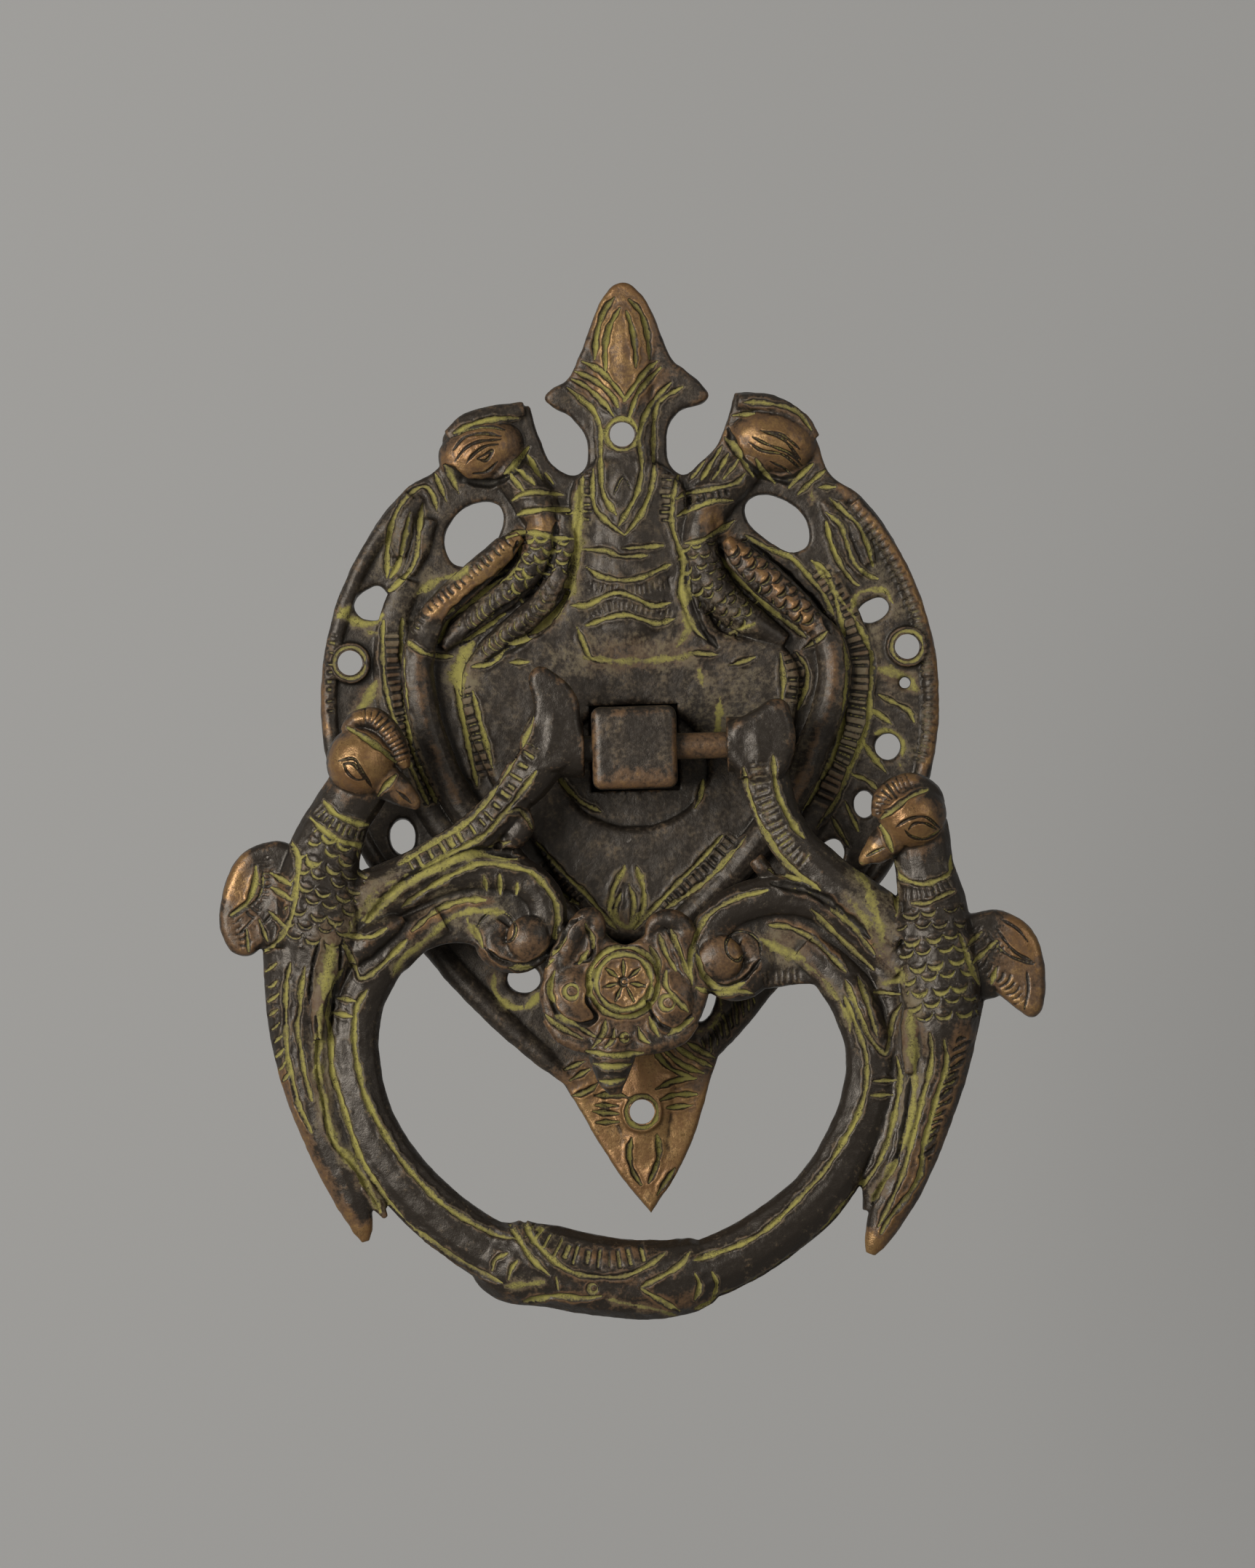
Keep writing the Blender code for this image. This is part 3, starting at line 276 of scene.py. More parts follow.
PLATE_BAND_LINES = [
    [(-39, 21.25), (-39.25, 18.5), (-39.25, 13.5), (-38.75, 9.5), (-37.5, 4.25), (-35.75, -1),
     (-32.75, -8)],
    [(-36, 21.5), (-36.25, 15.75), (-36, 10), (-35.25, 2.25), (-33.75, -2.5), (-31.5, -7.75)],
    [(28.75, 28.75), (31, 27), (32.25, 23.5), (33.5, 17), (34, 13), (33.75, 8.25), (32.75, 2.25),
     (31, -2.75), (28.75, -6.75), (26.25, -10.75)],
    [(35.25, 19.5), (37, 16), (38, 12.75), (37.5, 7.5), (37, 3), (35.75, -0.5), (34, -4.25),
     (31.75, -9.25), (28.5, -13.5)],
    [(-28, 11), (-27.25, 7), (-26.5, 2.75), (-25, -5.25)],
    [(-25.25, 9.75), (-24.25, 5), (-23.25, 1), (-22.5, -2.5)],
    [(23.5, 14.25), (23.75, 10), (23.5, 6.5)],
    [(26, 14.25), (27.5, 12), (27.5, 9.25), (26, 5.25)],
    [(-16, -14.5), (-11.75, -19.5), (-8, -23.25), (-5.5, -26.5), (-3.5, -28.75)],
    [(-14.5, -19.25), (-12.25, -22.5), (-9.5, -24.5)],
    [(13.5, -14.25), (10, -18), (5.5, -22.25), (1.25, -26.5), (-1, -28.75)],
    [(17, -14.5), (12.5, -19.5), (8.5, -22.75), (4.25, -25.5)],
    [(-2, -18.5), (-3.75, -21.75), (-5, -25.5)],
    [(-0.25, -18.75), (0.75, -22), (0.75, -25), (-0.25, -28)],
    [(-1.5, -21.5), (-0.75, -24.5), (-1.5, -27.75)],
    [(-2.75, -22.75), (-3.75, -25.5), (-3.25, -28)],
    [(-12.5, -2.75), (-11.5, -5), (-9.25, -7.75), (-8, -8.75), (-5.5, -10)],
    [(10.75, -5.25), (10, -8.25), (9.25, -9.75)],
]
PLATE_TAIL_LINES = [
    [(-12.5, -50.5), (-9.25, -49.25)],
    [(-11.75, -52.25), (-8.5, -50.5)],
    [(-11.5, -54.75), (-9, -54), (-7.25, -52.75)],
    [(1.5, -47.75), (4.25, -50.75), (7.75, -52.5)],
    [(3, -47.5), (6, -50.25), (9.5, -51.75)],
    [(5, -47.25), (7.5, -49), (10.75, -50.75)],
    [(6.5, -46.5), (9.25, -48.25), (11.5, -49.5)],
    [(1.75, -54), (5, -52.75), (8.25, -52.5)],
    [(-8, -54.75), (-4.25, -54.75), (-2.5, -55.25)],
    [(-7.75, -56.25), (-4.25, -56.5)],
    [(-8.25, -57.25), (-4.25, -57.75)],
    [(-7.75, -59), (-4.25, -59)],
    [(2.5, -55.75), (4.75, -55), (8.25, -55)],
    [(3.5, -57), (7.5, -56.75)],
    [(-2.25, -61.5), (-2.75, -64), (-2.25, -66.75), (-1, -69)],
    [(1.75, -61.25), (2, -64), (1.25, -66.75), (0.25, -68.75)],
    [(4.5, -66.5), (1.5, -70.75)],
]
# Valleys between the rolls, cut deeper and painted near-black as shade: width, then points
PLATE_VALLEYS = [
    (1, [(-17.5, 33), (-18.5, 29.5), (-23, 26.25), (-28, 22.25), (-30.5, 17.25)]),
    (1, [(-11.25, 35.75), (-12.25, 29.5), (-14.5, 26), (-19.5, 22.75), (-23.75, 19.75), (-27, 17)]),
    (1.4, [(-8.5, 31), (-9.5, 26.5), (-11, 23.25), (-14.5, 19), (-19.75, 16), (-23.25, 13.75)]),
    (1, [(14, 31.25), (18.25, 25), (23.25, 20.75), (27.75, 16.5)]),
    (1.2, [(9, 30.25), (9.25, 24.75), (11, 19), (13.5, 15.5)]),
    (1, [(19, 32), (24.75, 26.75), (29.75, 21.25), (31.5, 17.25)]),
    (1.2, [(-28.5, 45.5), (-25.5, 43), (-20.75, 42.5), (-17.5, 44.5), (-15.25, 48)]),
    (1.2, [(16.25, 50), (17.5, 46.5), (20.5, 43), (25.75, 41.5), (29.25, 43.75)]),
]
# Fine lines on the heads and the finial
PLATE_FACE_LINES = [
    [(-27.5, 49.75), (-24.5, 51), (-21.25, 51.25), (-19, 50.75)],
    [(-27.25, 47.75), (-25.25, 49.75), (-22.25, 50.25), (-19.5, 49.75)],
    [(-27, 46), (-25.25, 48), (-23, 49), (-19.5, 49.25)],
    [(-25.25, 45.5), (-24, 47), (-22, 48.25), (-19.75, 48.5)],
    [(-23.5, 46.25), (-22.5, 46.75), (-21, 47.5), (-22, 46), (-23.5, 46.25)],
    [(-24.25, 44), (-22, 44.25), (-20.25, 45.75)],
    [(22, 49.25), (24.5, 48.75), (26.5, 47.25), (27.5, 46.25)],
    [(20, 48.5), (22.25, 47.25), (25.75, 45.75), (27.75, 43.75)],
    [(19.25, 47.75), (21.5, 46.25), (24.75, 45.5), (27.25, 43.5)],
    [(21.25, 49.5), (24.75, 48), (27.5, 44.75)],
    [(22.75, 44.5), (24.75, 43.5), (26, 42.5)],
    [(-2.25, 39.75), (-0.5, 42.75), (0.75, 40.5)],
]
# Cross grooves: half width, pitch, slant, dust and verdigris, then the line that they follow
PLATE_LADDERS = [
    (1.4, 1.2, 0, 1, 0.2, [(-37.75, 19.25), (-37.75, 13.5), (-37.25, 9), (-36.25, 3.75), (-34.5, -1.75),
     (-32, -8)]),
    (1.7, 1.3, 0, 1, 0.2, [(30, 27.25), (32, 24), (34, 20.5), (35.5, 16), (36, 12.75), (35.75, 8),
     (34.75, 2.75), (33.25, -1.75), (31.25, -5.5), (29, -10)]),
    (1.5, 1.5, 0, 1, 0.2, [(-26.75, 10.25), (-25.75, 5.75), (-24.75, 1.75), (-23.75, -4)]),
    (1.6, 1.4, 0, 0.85, 0.2, [(25.25, 14.25), (26, 10.5), (25.5, 6.25)]),
    (1.05, 1.15, 0, 0.35, 0.15, [(15.25, -14.25), (11.25, -18.75), (7, -22.5), (3, -25.75)]),
    (1.05, 1.15, 0, 0.35, 0.15, [(-15, -17), (-9, -24.25)]),
    (0.7, 1.15, 0, 0.3, 0.3, [(9, 38.5), (16.5, 40)]),
    (1.5, 1.2, 0, 0.2, 0.1, [(34.75, 37.75), (38.25, 33.25), (41.5, 28), (44.25, 21.5), (46, 14.5),
     (46.75, 7.5), (46.5, 1.75), (44.75, -3.75)]),
    (0.9, 1.25, 0, 0.5, 0.5, [(-6, 43.75), (-6.5, 35.75)]),
    (1.05, 1.25, 0, 0.5, 0.5, [(6.5, 43.25), (6, 35.25)]),
    (1.6, 1.25, 0.7, 0, 0.8, [(17.5, -39.75), (14, -43.25), (9.75, -47.75)]),
    (1.05, 0.8, 0, 0.1, 0.05, [(-6.5, 25.75), (-0.75, 24.75), (6.5, 25.75)]),
    (0.9, 0.8, 0, 0.1, 0.05, [(-7, 21.25), (-1.75, 22.5), (6.75, 20.75)]),
    (0.7, 1.5, 0, 0.1, 0.7, [(-47, 19.25), (-47.75, 13.75), (-47.75, 6.25)]),
    (0.9, 1.5, 0, 0.1, 0.5, [(-45.25, 28.25), (-47.25, 23.5), (-48.25, 20.25)]),
]
# Bowed ribs: half width, pitch, bow and verdigris, then their line
PLATE_RIBS = [
    (1.05, 1.15, 0.3, 0.1, [(-18.25, 33.5), (-25.5, 27.75), (-31.25, 23.25), (-34.75, 19.25)]),
    (1.85, 1.25, 0.7, 0.45, [(-19, 25), (-22.25, 22.5), (-26.5, 19.25)]),
    (1.6, 1.25, 0.7, 0.45, [(-11.5, 26.5), (-15, 21.75), (-20.5, 17.75), (-24, 15.5)]),
]
# Scales: half width, pitch, row spacing and verdigris, then their line
PLATE_SCALES = [
    (2.55, 2.55, 1.5, 0.7, [(-13.5, 34), (-14, 30.75), (-16.5, 27), (-19, 25)]),
    (1.7, 2.55, 1.5, 0.7, [(-10, 33.5), (-11.25, 27.25)]),
    (3.45, 2.3, 1.6, 0.6, [(10.75, 32.25), (11.75, 27), (14.75, 22.5), (19.25, 19)]),
    (2.9, 2.75, 1.6, 0.4, [(16.25, 31), (20.75, 26.75), (25.25, 22.5), (29, 18.25)]),
]
# Pools of verdigris: width and amount, then their line
PLATE_POOLS = [
    (1.15, 0.9, [(-2, -19), (-3.75, -21.75), (-4.75, -25.5)]),
    (1.15, 0.9, [(-0.25, -19.25), (0.75, -22), (0.75, -25.25)]),
    (1.6, 0.95, [(-4.75, -25.25), (-3.25, -27.5), (-1.5, -28.25), (0.5, -25.75)]),
    (1.25, 0.85, [(-23, -34.75), (-23.25, -37.5), (-21, -40.25), (-18, -40.25), (-15.75, -38)]),
    (1.05, 0.8, [(12, -38), (12.5, -41.5), (10.75, -44.5), (8.25, -45.25)]),
    (1.7, 0.8, [(-6.25, 14.25), (0.25, 13.75), (8.25, 14)]),
    (1.85, 0.85, [(-7.5, 41.5), (-7.75, 38), (-8.25, 31)]),
    (2.3, 0.9, [(-8.75, 27), (-9.75, 24.75), (-12.5, 21), (-15.25, 18.75)]),
    (2.75, 0.85, [(-25, 17.25), (-26.75, 15), (-27.5, 12.75), (-27, 9.25)]),
    (2.55, 0.9, [(-46, 22), (-44.5, 23.25)]),
    (1.6, 0.85, [(-44.75, 21.75), (-41.5, 20.75), (-39, 22.25)]),
    (3.45, 0.85, [(-40.5, 11.5), (-42, 9), (-43.75, 6.25)]),
    (1.4, 0.6, [(29.25, 39.75), (29, 37.5)]),
    (3.2, 0.85, [(39, 11.25), (42.25, 10.25), (45, 7.75)]),
    (1.05, 0.75, [(37.75, 1), (40.25, 1.5), (42.25, 0), (42.25, -2.75)]),
    (1.15, 0.75, [(35, 20.75), (36, 23.25), (40, 23.75), (41.5, 21.5)]),
    (1.6, 0.6, [(41.75, -3.75), (42, -4.5)]),
    (1.4, 0.6, [(14.75, 17.25), (19.5, 19)]),
    (1.6, 0.6, [(10.5, 12.75), (11, 9.25)]),
    (2.3, 0.6, [(13.75, 7.5), (13, 1.75)]),
    (2.3, 0.8, [(8.25, 25.5), (8.75, 21.25), (9, 18.5), (7.25, 15.75)]),
    (1.15, 0.6, [(29.25, 28.25), (33.75, 21.75), (35.5, 19.5)]),
    (1.85, 0.6, [(-29, 31.75), (-25.75, 28.75), (-30.5, 27.25), (-34, 25)]),
    (1.15, 0.6, [(-42.25, 19.5), (-40, 19.25)]),
    (3, 0.35, [(-7.75, 14.5), (-1, 13.25), (7, 14), (12.25, 15.5)]),
    (2.75, 0.3, [(-7.25, 38), (-7.75, 31), (-9.25, 25.25)]),
]
# Lines worn bright, the two along the ridges painted highlights: width and amount, then points
PLATE_WEAR_AND_HIGHLIGHT_LINES = [
    (1.4, 0.6, [(33.75, 40), (40.5, 32), (44.75, 24.25), (47.5, 15.75), (48.25, 7.5), (47.25, -0.5),
     (45.5, -5)]),
    (1.15, 0.55, [(-48.25, 3.5), (-49.25, 10.5), (-48.75, 18.5), (-46.5, 27.5), (-41.5, 36.5),
     (-34.5, 43.25)]),
    # These two follow the ridges: painted highlights along them, in copper-brown
    (1.4, 0.42, [(-33.5, 16), (-33.5, 9), (-31.5, 0.5), (-28, -7.5)]),
    (1.6, 0.46, [(31.5, 15), (31.5, 8), (28.5, 0), (25, -7.5)]),
    (3.2, 0.8, [(-17.5, 32.75), (-24.75, 27), (-30.75, 22.5)]),
    (1.4, 0.95, [(15.75, 32.5), (20.75, 27.25), (25.75, 22), (28.5, 18.25)]),
    (3.45, 0.5, [(15.75, 32.5), (20.75, 27.25), (25.75, 22), (28.5, 18.25)]),
]
# Spots worn bright, three on the ridges painted highlights, and dusty spots: across, up, half sizes, tilt and
# amount
PLATE_WEAR_AND_HIGHLIGHT_SPOTS = [
    (0.25, 64.5, 4.75, 9.75, 0, 0.92), (0, 57.75, 7.25, 3.75, 0, 0.7), (-23, 47.5, 6, 3.75, 15, 1),
    (23.25, 47.75, 6.75, 4.25, -15, 1), (-14.25, 35.75, 3.5, 1.5, 0, 0.75), (13.25, 35.5, 2, 2, 0, 0.8),
    (-1, -61.25, 11, 16, 0, 1.35), (5.75, -53.25, 4.5, 4.5, 0, 0.8), (-7.5, -54, 4.5, 5.75, 0, 0.75),
    # The spots on the next line lie on the ridges: painted highlights, in copper-brown
    (-32.75, 10, 0.75, 4.5, 0, 0.4), (31.75, 11.5, 1, 3.75, 0, 0.6), (26, -6.75, 1, 3.5, -30, 0.45),
]
PLATE_DUST = [
    (16.25, 10.75, 9.25, 6.25, 0, 0.26), (13.25, 4.5, 4.5, 6.25, 0, 0.32),
    (0.25, 14.75, 12.75, 3, 0, 0.5), (40.5, 18.25, 3.5, 10.25, 0, 0.4), (-26.25, 12, 3, 4.5, 0, 0.7),
    (25.75, 2.5, 2.25, 7, 0, 0.35), (-35, 29.5, 5.75, 9.25, 0, 0.25), (14.25, 20, 4.5, 4.5, 0, 0.3),
]

# Marks on the ring, in the same order
RING_LEFT_BIRD_LINES = [
    [(-45, 4.5), (-42.25, 2.75), (-39, 0.25), (-37.5, -1.25)],
    [(-40.5, -6.5), (-39.5, -5.25), (-37.5, -3.25)],
    [(-49, -7), (-47.25, -9), (-44.25, -10.5), (-41.75, -11)],
    [(-51.25, -9.5), (-49.25, -11.5), (-46.75, -13.25), (-43, -14.25)],
    [(-54.75, -12.5), (-53.25, -16), (-53.75, -20.25), (-54.25, -23.75), (-55.75, -27.25),
     (-57.75, -29.5), (-60, -30.5)],
    [(-60, -16.75), (-60.25, -19.5), (-61.5, -22.5), (-64.25, -24.5)],
    [(-57.75, -18), (-54.5, -20)],
    [(-57.75, -20.25), (-54.5, -22.25)],
    [(-58.25, -24), (-55.75, -26.5)],
    [(-59.75, -25.25), (-58.5, -28.75)],
    [(-61.75, -26.75), (-61.5, -30.25)],
]
RING_RIGHT_BIRD_LINES = [
    [(38, -12.5), (40.5, -10.75), (43.25, -8.75), (45.75, -8)],
    [(37.75, -12.75), (39, -14.75), (40, -17.5)],
    [(39.5, -18.75), (41, -21.5), (44.25, -22.75), (46.75, -22.25), (49, -21), (49.25, -18.5)],
    [(42.75, -25.75), (45.25, -25.75), (47.5, -24.75), (49.5, -24)],
    [(39.75, -18.75), (40.25, -23), (40.5, -27)],
    [(50.25, -30.75), (51, -33.5), (52, -36.5), (53, -38.75)],
    [(56, -32), (52.25, -35.25)],
    [(51.5, -32.5), (53.75, -30.5)],
    [(55.75, -36.25), (55, -38.75)],
]
RING_ARM_LINES = [
    [(-15.75, 5.25), (-17.25, 1.75), (-20.75, -3.75), (-24, -8.25), (-27.5, -11.5), (-32.5, -14.25),
     (-37.5, -17.25)],
    [(-15.5, -3.25), (-18.75, -7.5), (-21, -10), (-24.25, -13.25), (-29.25, -15.75), (-34.25, -18.25)],
    [(17, -3.75), (17.75, -8.5), (19, -12), (20.75, -15), (22.75, -18.25), (25.25, -20.75),
     (28.5, -23.25)],
    [(21.75, -2), (22, -6.25), (23, -9.75), (24.75, -13.25), (26.25, -15)],
    [(20.5, -19.75), (23, -20.75), (26, -21.75)],
    [(-23.25, -15), (-20, -14.25)],
    [(-20.25, -9.75), (-18, -9.5), (-16, -12.75)],
]
RING_SCROLL_LINES = [
    [(-19, -17), (-25.75, -16), (-31, -17.75), (-36, -20.25), (-41, -24), (-43, -26.25)],
    [(-13.25, -29.75), (-13, -24.5), (-16, -19.75), (-19.5, -18.25), (-24.25, -17.5), (-27.75, -18.5),
     (-32.75, -21), (-37.25, -24)],
    [(-35.75, -27.75), (-32, -24.75), (-27.75, -23.25), (-24, -23.25)],
    [(-24.25, -19.5), (-23.75, -22)],
    [(-21.75, -19.25), (-21.75, -22.5)],
    [(-19, -20.75), (-19.25, -22.5)],
    [(-26, -27.25), (-24.75, -30.75)],
    [(-20.75, -34), (-16.75, -34.25), (-13.75, -33)],
    [(-47, -28), (-42.5, -28.5), (-39.75, -27.25)],
    [(-46.5, -29), (-45, -33), (-44, -35), (-41.25, -33.5), (-36.5, -29)],
    [(8, -37.5), (7.75, -33.75), (9, -29.5), (11, -26.5), (15, -24.25), (20.25, -23)],
    [(8.75, -32.75), (9.75, -36.25), (12.75, -38.5), (16.25, -37.5)],
    [(8.5, -38), (11.75, -39), (15.25, -38.75), (17.5, -39.25)],
    [(27, -26.25), (30.5, -30), (33.75, -33.25), (36.5, -36)],
    [(30, -26.25), (33.25, -29), (35.5, -32), (36.75, -33.75)],
    [(20.25, -28.5), (23.5, -29), (27.25, -31), (29.75, -33.5), (32.25, -36.25)],
    [(32, -37.5), (33.5, -41.5), (35.25, -46), (37.5, -49), (38.5, -48.5), (39.25, -44), (40.75, -41.5)],
    [(34, -36.75), (35.25, -40.75), (36.75, -46.5)],
    [(36.5, -39.5), (40.5, -40)],
]
RING_HOOP_LINES = [
    [(-46.75, -33.5), (-48.25, -36.25), (-49.5, -39.75), (-49, -44.25), (-49, -49.25), (-47.75, -53.75),
     (-46, -60), (-44.5, -64), (-42, -68.25), (-39.75, -71.75), (-37.5, -74.25), (-34.25, -76.5),
     (-30, -79.75), (-23.25, -83.5)],
    [(-43, -36.75), (-44.75, -39.25), (-45.25, -42.75), (-45.25, -46.25), (-44.75, -49.75), (-44, -53.25),
     (-42.25, -57.25), (-40.5, -60.5), (-38.25, -64), (-35.25, -67.75), (-32, -71), (-28, -73.75),
     (-24, -75.75), (-21, -76.5)],
    [(-47.75, -38), (-45, -38.5)],
    [(-48.5, -40.25), (-45.5, -41)],
    [(31.75, -40), (33.25, -44), (34.75, -48.5), (35, -51.75), (34.5, -55.5), (33, -59.5), (31, -62.75),
     (29, -65.75), (26.75, -68.5), (23.5, -71.75), (19.75, -75.25), (16, -77.75), (11.5, -79.5),
     (7, -80.75)],
    [(39.75, -49.75), (40.25, -53.25), (39.5, -57.25), (38.25, -62), (37, -65.25), (35.25, -68),
     (32.75, -70.75), (30, -73.75), (26.75, -77.5), (23.25, -80.25), (19.5, -82.5), (16.75, -84.25),
     (11, -86.75), (7, -88.5)],
    [(36, -53.5), (39.5, -53.5)],
    [(35.5, -55.75), (39, -55.75)],
]
RING_TAIL_LINES = [
    [(-59, -33.5), (-58.25, -33), (-57.25, -32.25)],
    [(-58.75, -36), (-58, -35.75), (-57.25, -35)],
    [(-58.75, -38.25), (-58, -37.75), (-57, -37)],
    [(-58.75, -40.5), (-58, -40), (-57.25, -39.5)],
    [(-58.5, -42.75), (-57.75, -42.25), (-57, -41.5)],
    [(-58, -44.75), (-57.5, -44.25), (-56.75, -43.75)],
    [(-57.75, -47), (-57.25, -46.5), (-56.5, -45.75)],
    [(-57.25, -49), (-56.75, -48.5), (-56.25, -47.75)],
    [(-56.75, -50.75), (-56.25, -50.25), (-55.75, -49.5)],
    [(-55, -32.25), (-55.75, -35.5), (-56, -40.75), (-56, -46), (-55.5, -49.25), (-54.5, -54.25),
     (-52.5, -59)],
    [(-52.75, -33), (-53.5, -36.75), (-53.75, -39.75), (-54.25, -42.5), (-53.75, -46), (-53.25, -50),
     (-52.25, -54)],
    [(45, -46.25), (45.25, -49.25), (44.75, -52.5), (43.75, -55.75), (42.75, -59.5), (41.75, -62.75),
     (41, -65.5), (40, -68.5), (38.25, -72.25), (36, -76.5)],
    [(47.25, -47.25), (47.5, -51.25), (46, -55.75), (44.75, -59.75), (43.5, -64.25), (43, -68),
     (41, -71.5), (37.75, -75.25), (36.5, -77.5)],
]
RING_PAD_LINES = [
    [(-22, -74), (-20.5, -76.5), (-18.5, -79.75), (-15.75, -82.5)],
    [(-19.5, -73.5), (-18.75, -75.75), (-16.75, -78.5), (-14, -81), (-10.75, -82.5), (-5, -83),
     (-1, -81.75), (2.5, -79.5)],
    [(6.5, -79.25), (4.25, -81.75), (-1.5, -84.75)],
    [(-1.5, -85), (1.25, -86.75), (4.5, -88.75)],
    [(-20, -86.5), (-17, -86), (-14.25, -85.75), (-10.75, -86.25), (-7.75, -86)],
    [(-22.25, -83), (-21.75, -81.25), (-20.75, -80)],
    [(-24.75, -81.5), (-24.25, -79.75), (-22.25, -78.75)],
    [(7, -82.75), (7.75, -84.75), (7, -87)],
    [(9.75, -82.75), (10.5, -84.75), (9.75, -86.75)],
    [(-14.75, -82.75), (-14.5, -84.75)],
]
RING_BOSS_LINES = [
    [(-15.75, -41.25), (-13, -43.5), (-9.5, -45.5)],
    [(-13.75, -41.75), (-10.75, -43.25), (-7.5, -45.25)],
    [(-5.75, -42.5), (-6.25, -44.75), (-8, -47)],
    [(-4.5, -44), (-4.75, -45.75), (-6, -47)],
    [(-0.75, -43.75), (-0.25, -45.5), (1, -46.5)],
    [(1, -42.25), (1.75, -44), (2.5, -45.5)],
    [(8, -42.75), (6, -44.25), (4, -45.25)],
    [(-13.5, -34.75), (-14.5, -37.5), (-13.5, -40.5)],
    [(-14, -32.25), (-12.5, -30.75), (-11.5, -28.5)],
    [(-8.5, -27.5), (-7.5, -29.75), (-7.5, -31.25)],
    [(-9.75, -33.75), (-8.25, -31.75)],
    [(1.5, -31.25), (2.75, -34), (2.5, -36.5)],
    [(4, -35.25), (3.75, -37.25), (5, -39.25), (7.25, -41.75)],
    [(4.75, -28.5), (5.75, -31.25), (7, -34.75), (7.75, -36.5)],
    [(3, -29.5), (4, -32.5), (5.5, -35.25)],
    [(-9, -47.5), (-4.5, -48.25), (0, -48)],
    [(-8, -49.5), (-5.25, -50), (-1.75, -49.75)],
    [(-7.25, -52.25), (-5.25, -52.5), (-2.75, -52)],
]
# Valleys between the ring's forms, cut deeper and painted near-black as shade: width, then points
RING_VALLEYS = [
    (0.8, [(-12.75, -26.5), (-14, -30.75), (-17.25, -33.5), (-21.75, -33), (-24.5, -30.75)]),
    (0.8, [(9, -32.25), (9.75, -35.75), (12.75, -38), (16, -37), (18.75, -34)]),
    (1.5, [(-18.25, -16.25), (-26, -15.75), (-31.75, -17.75), (-37, -20.25), (-42.25, -25.25)]),
    (1.5, [(21, -22), (26.5, -23.25), (31, -26.25), (36, -31)]),
    (0.6, [(-46.75, -28.75), (-47.25, -33.25), (-48.5, -39), (-49.5, -44.5)]),
    (0.6, [(-50.25, -28.75), (-51.5, -33), (-52.25, -38.75)]),
    (0.8, [(-51.25, -40.75), (-51, -44.75), (-51.25, -49.25), (-50.5, -53.5), (-50, -57.75), (-49, -61),
     (-46.5, -63.75), (-44.25, -67.5), (-42, -71.75)]),
    (0.8, [(41.75, -53.25), (41, -58.25), (40.25, -62), (39, -66.5), (36.75, -70), (35.25, -73)]),
    (0.7, [(-7.5, -36), (-8.5, -39.5), (-7.25, -42.25), (-9.5, -43.25), (-13, -41.75), (-14.25, -38.75),
     (-13.75, -35.25)]),
    (0.7, [(1.5, -37), (1, -40.25), (2.5, -43.5), (5.25, -44.5), (7.75, -42.25)]),
    (0.7, [(-14, -32.25), (-12.25, -30.25), (-11.25, -27.75), (-9, -26.5)]),
    (0.7, [(-8.5, -28), (-7.5, -30.5), (-7.75, -32.75), (-10.5, -33.75)]),
    (0.7, [(1.5, -31.25), (2.75, -34), (2.5, -36.5)]),
    (0.7, [(4, -28.5), (5.75, -31.25), (7, -34.75), (7.75, -36.5)]),
]
RING_FACE_LINES = [
    [(18.75, -33.75), (18.75, -31.25), (17.25, -29.75), (15, -29.5), (13.5, -31), (13.75, -33),
     (15.25, -34), (16.5, -32.75)],
    [(-24.75, -30.75), (-25.5, -27.75), (-23.75, -25.5), (-21, -25.5), (-19.5, -27.5), (-20, -29.5),
     (-21.75, -30.25)],
    [(-46.5, -0.75), (-44, -0.5), (-42.75, -2.5), (-41.25, -5.25)],
    [(-45.75, -1.25), (-45, -2.75), (-43.75, -3.75), (-42.5, -3.75)],
    [(-45.75, -1.25), (-44.25, -1.25), (-43.25, -2.5), (-42.5, -3.75)],
    [(-37.75, -5.5), (-36.25, -6.75), (-35.25, -7.75)],
    [(40.5, -13.75), (42.75, -12.5), (45.25, -12.25), (47.5, -14)],
    [(42, -14.25), (43, -15.25), (45, -15.75), (46.75, -15), (47.75, -14.25)],
    [(42.5, -14.25), (43.5, -13.25), (45.25, -13.25), (47, -14.25)],
    [(35.75, -18.25), (37.25, -17.5), (39, -16.75)],
    [(54.25, -30), (55.75, -32.5), (58, -34.5), (61.75, -36)],
    [(56, -30), (57.25, -32), (59, -34), (62, -35.75)],
    [(60.5, -36.75), (60.75, -39.75), (60, -43)],
    [(56.5, -28.5), (59.25, -30.25), (61, -32.5)],
    [(-59, -17.25), (-59, -20), (-60, -22.25), (-62.5, -24), (-64.25, -25)],
    [(-60.5, -25), (-63, -27.5)],
    [(-57, -23.75), (-59.5, -26.5)],
]
RING_LADDERS = [
    (1.15, 1.85, 0, 0.1, 0.75, [(-15.75, 0.75), (-20, -6), (-24, -10.75), (-30.5, -14.75),
     (-36.25, -17.75)]),
    (1.5, 1.1, 0, 0.1, 0.3, [(19.25, -3), (19.75, -7.25), (21, -10.75), (22.5, -14.25), (24.5, -17.25),
     (26.25, -18.75)]),
    (1.15, 1.6, -1, 0.35, 0.3, [(50.5, -47), (48.5, -52.25), (47, -56.5), (45, -61.25), (43.75, -66)]),
    (1.7, 1.7, 0, 0.2, 0.8, [(-18.75, -75.25), (-16.25, -77), (-11.75, -79.25), (-6, -80.25),
     (-0.25, -79.25)]),
    (1.4, 0.9, 0, 0.2, 0.2, [(19.25, -37), (25, -36.75)]),
]
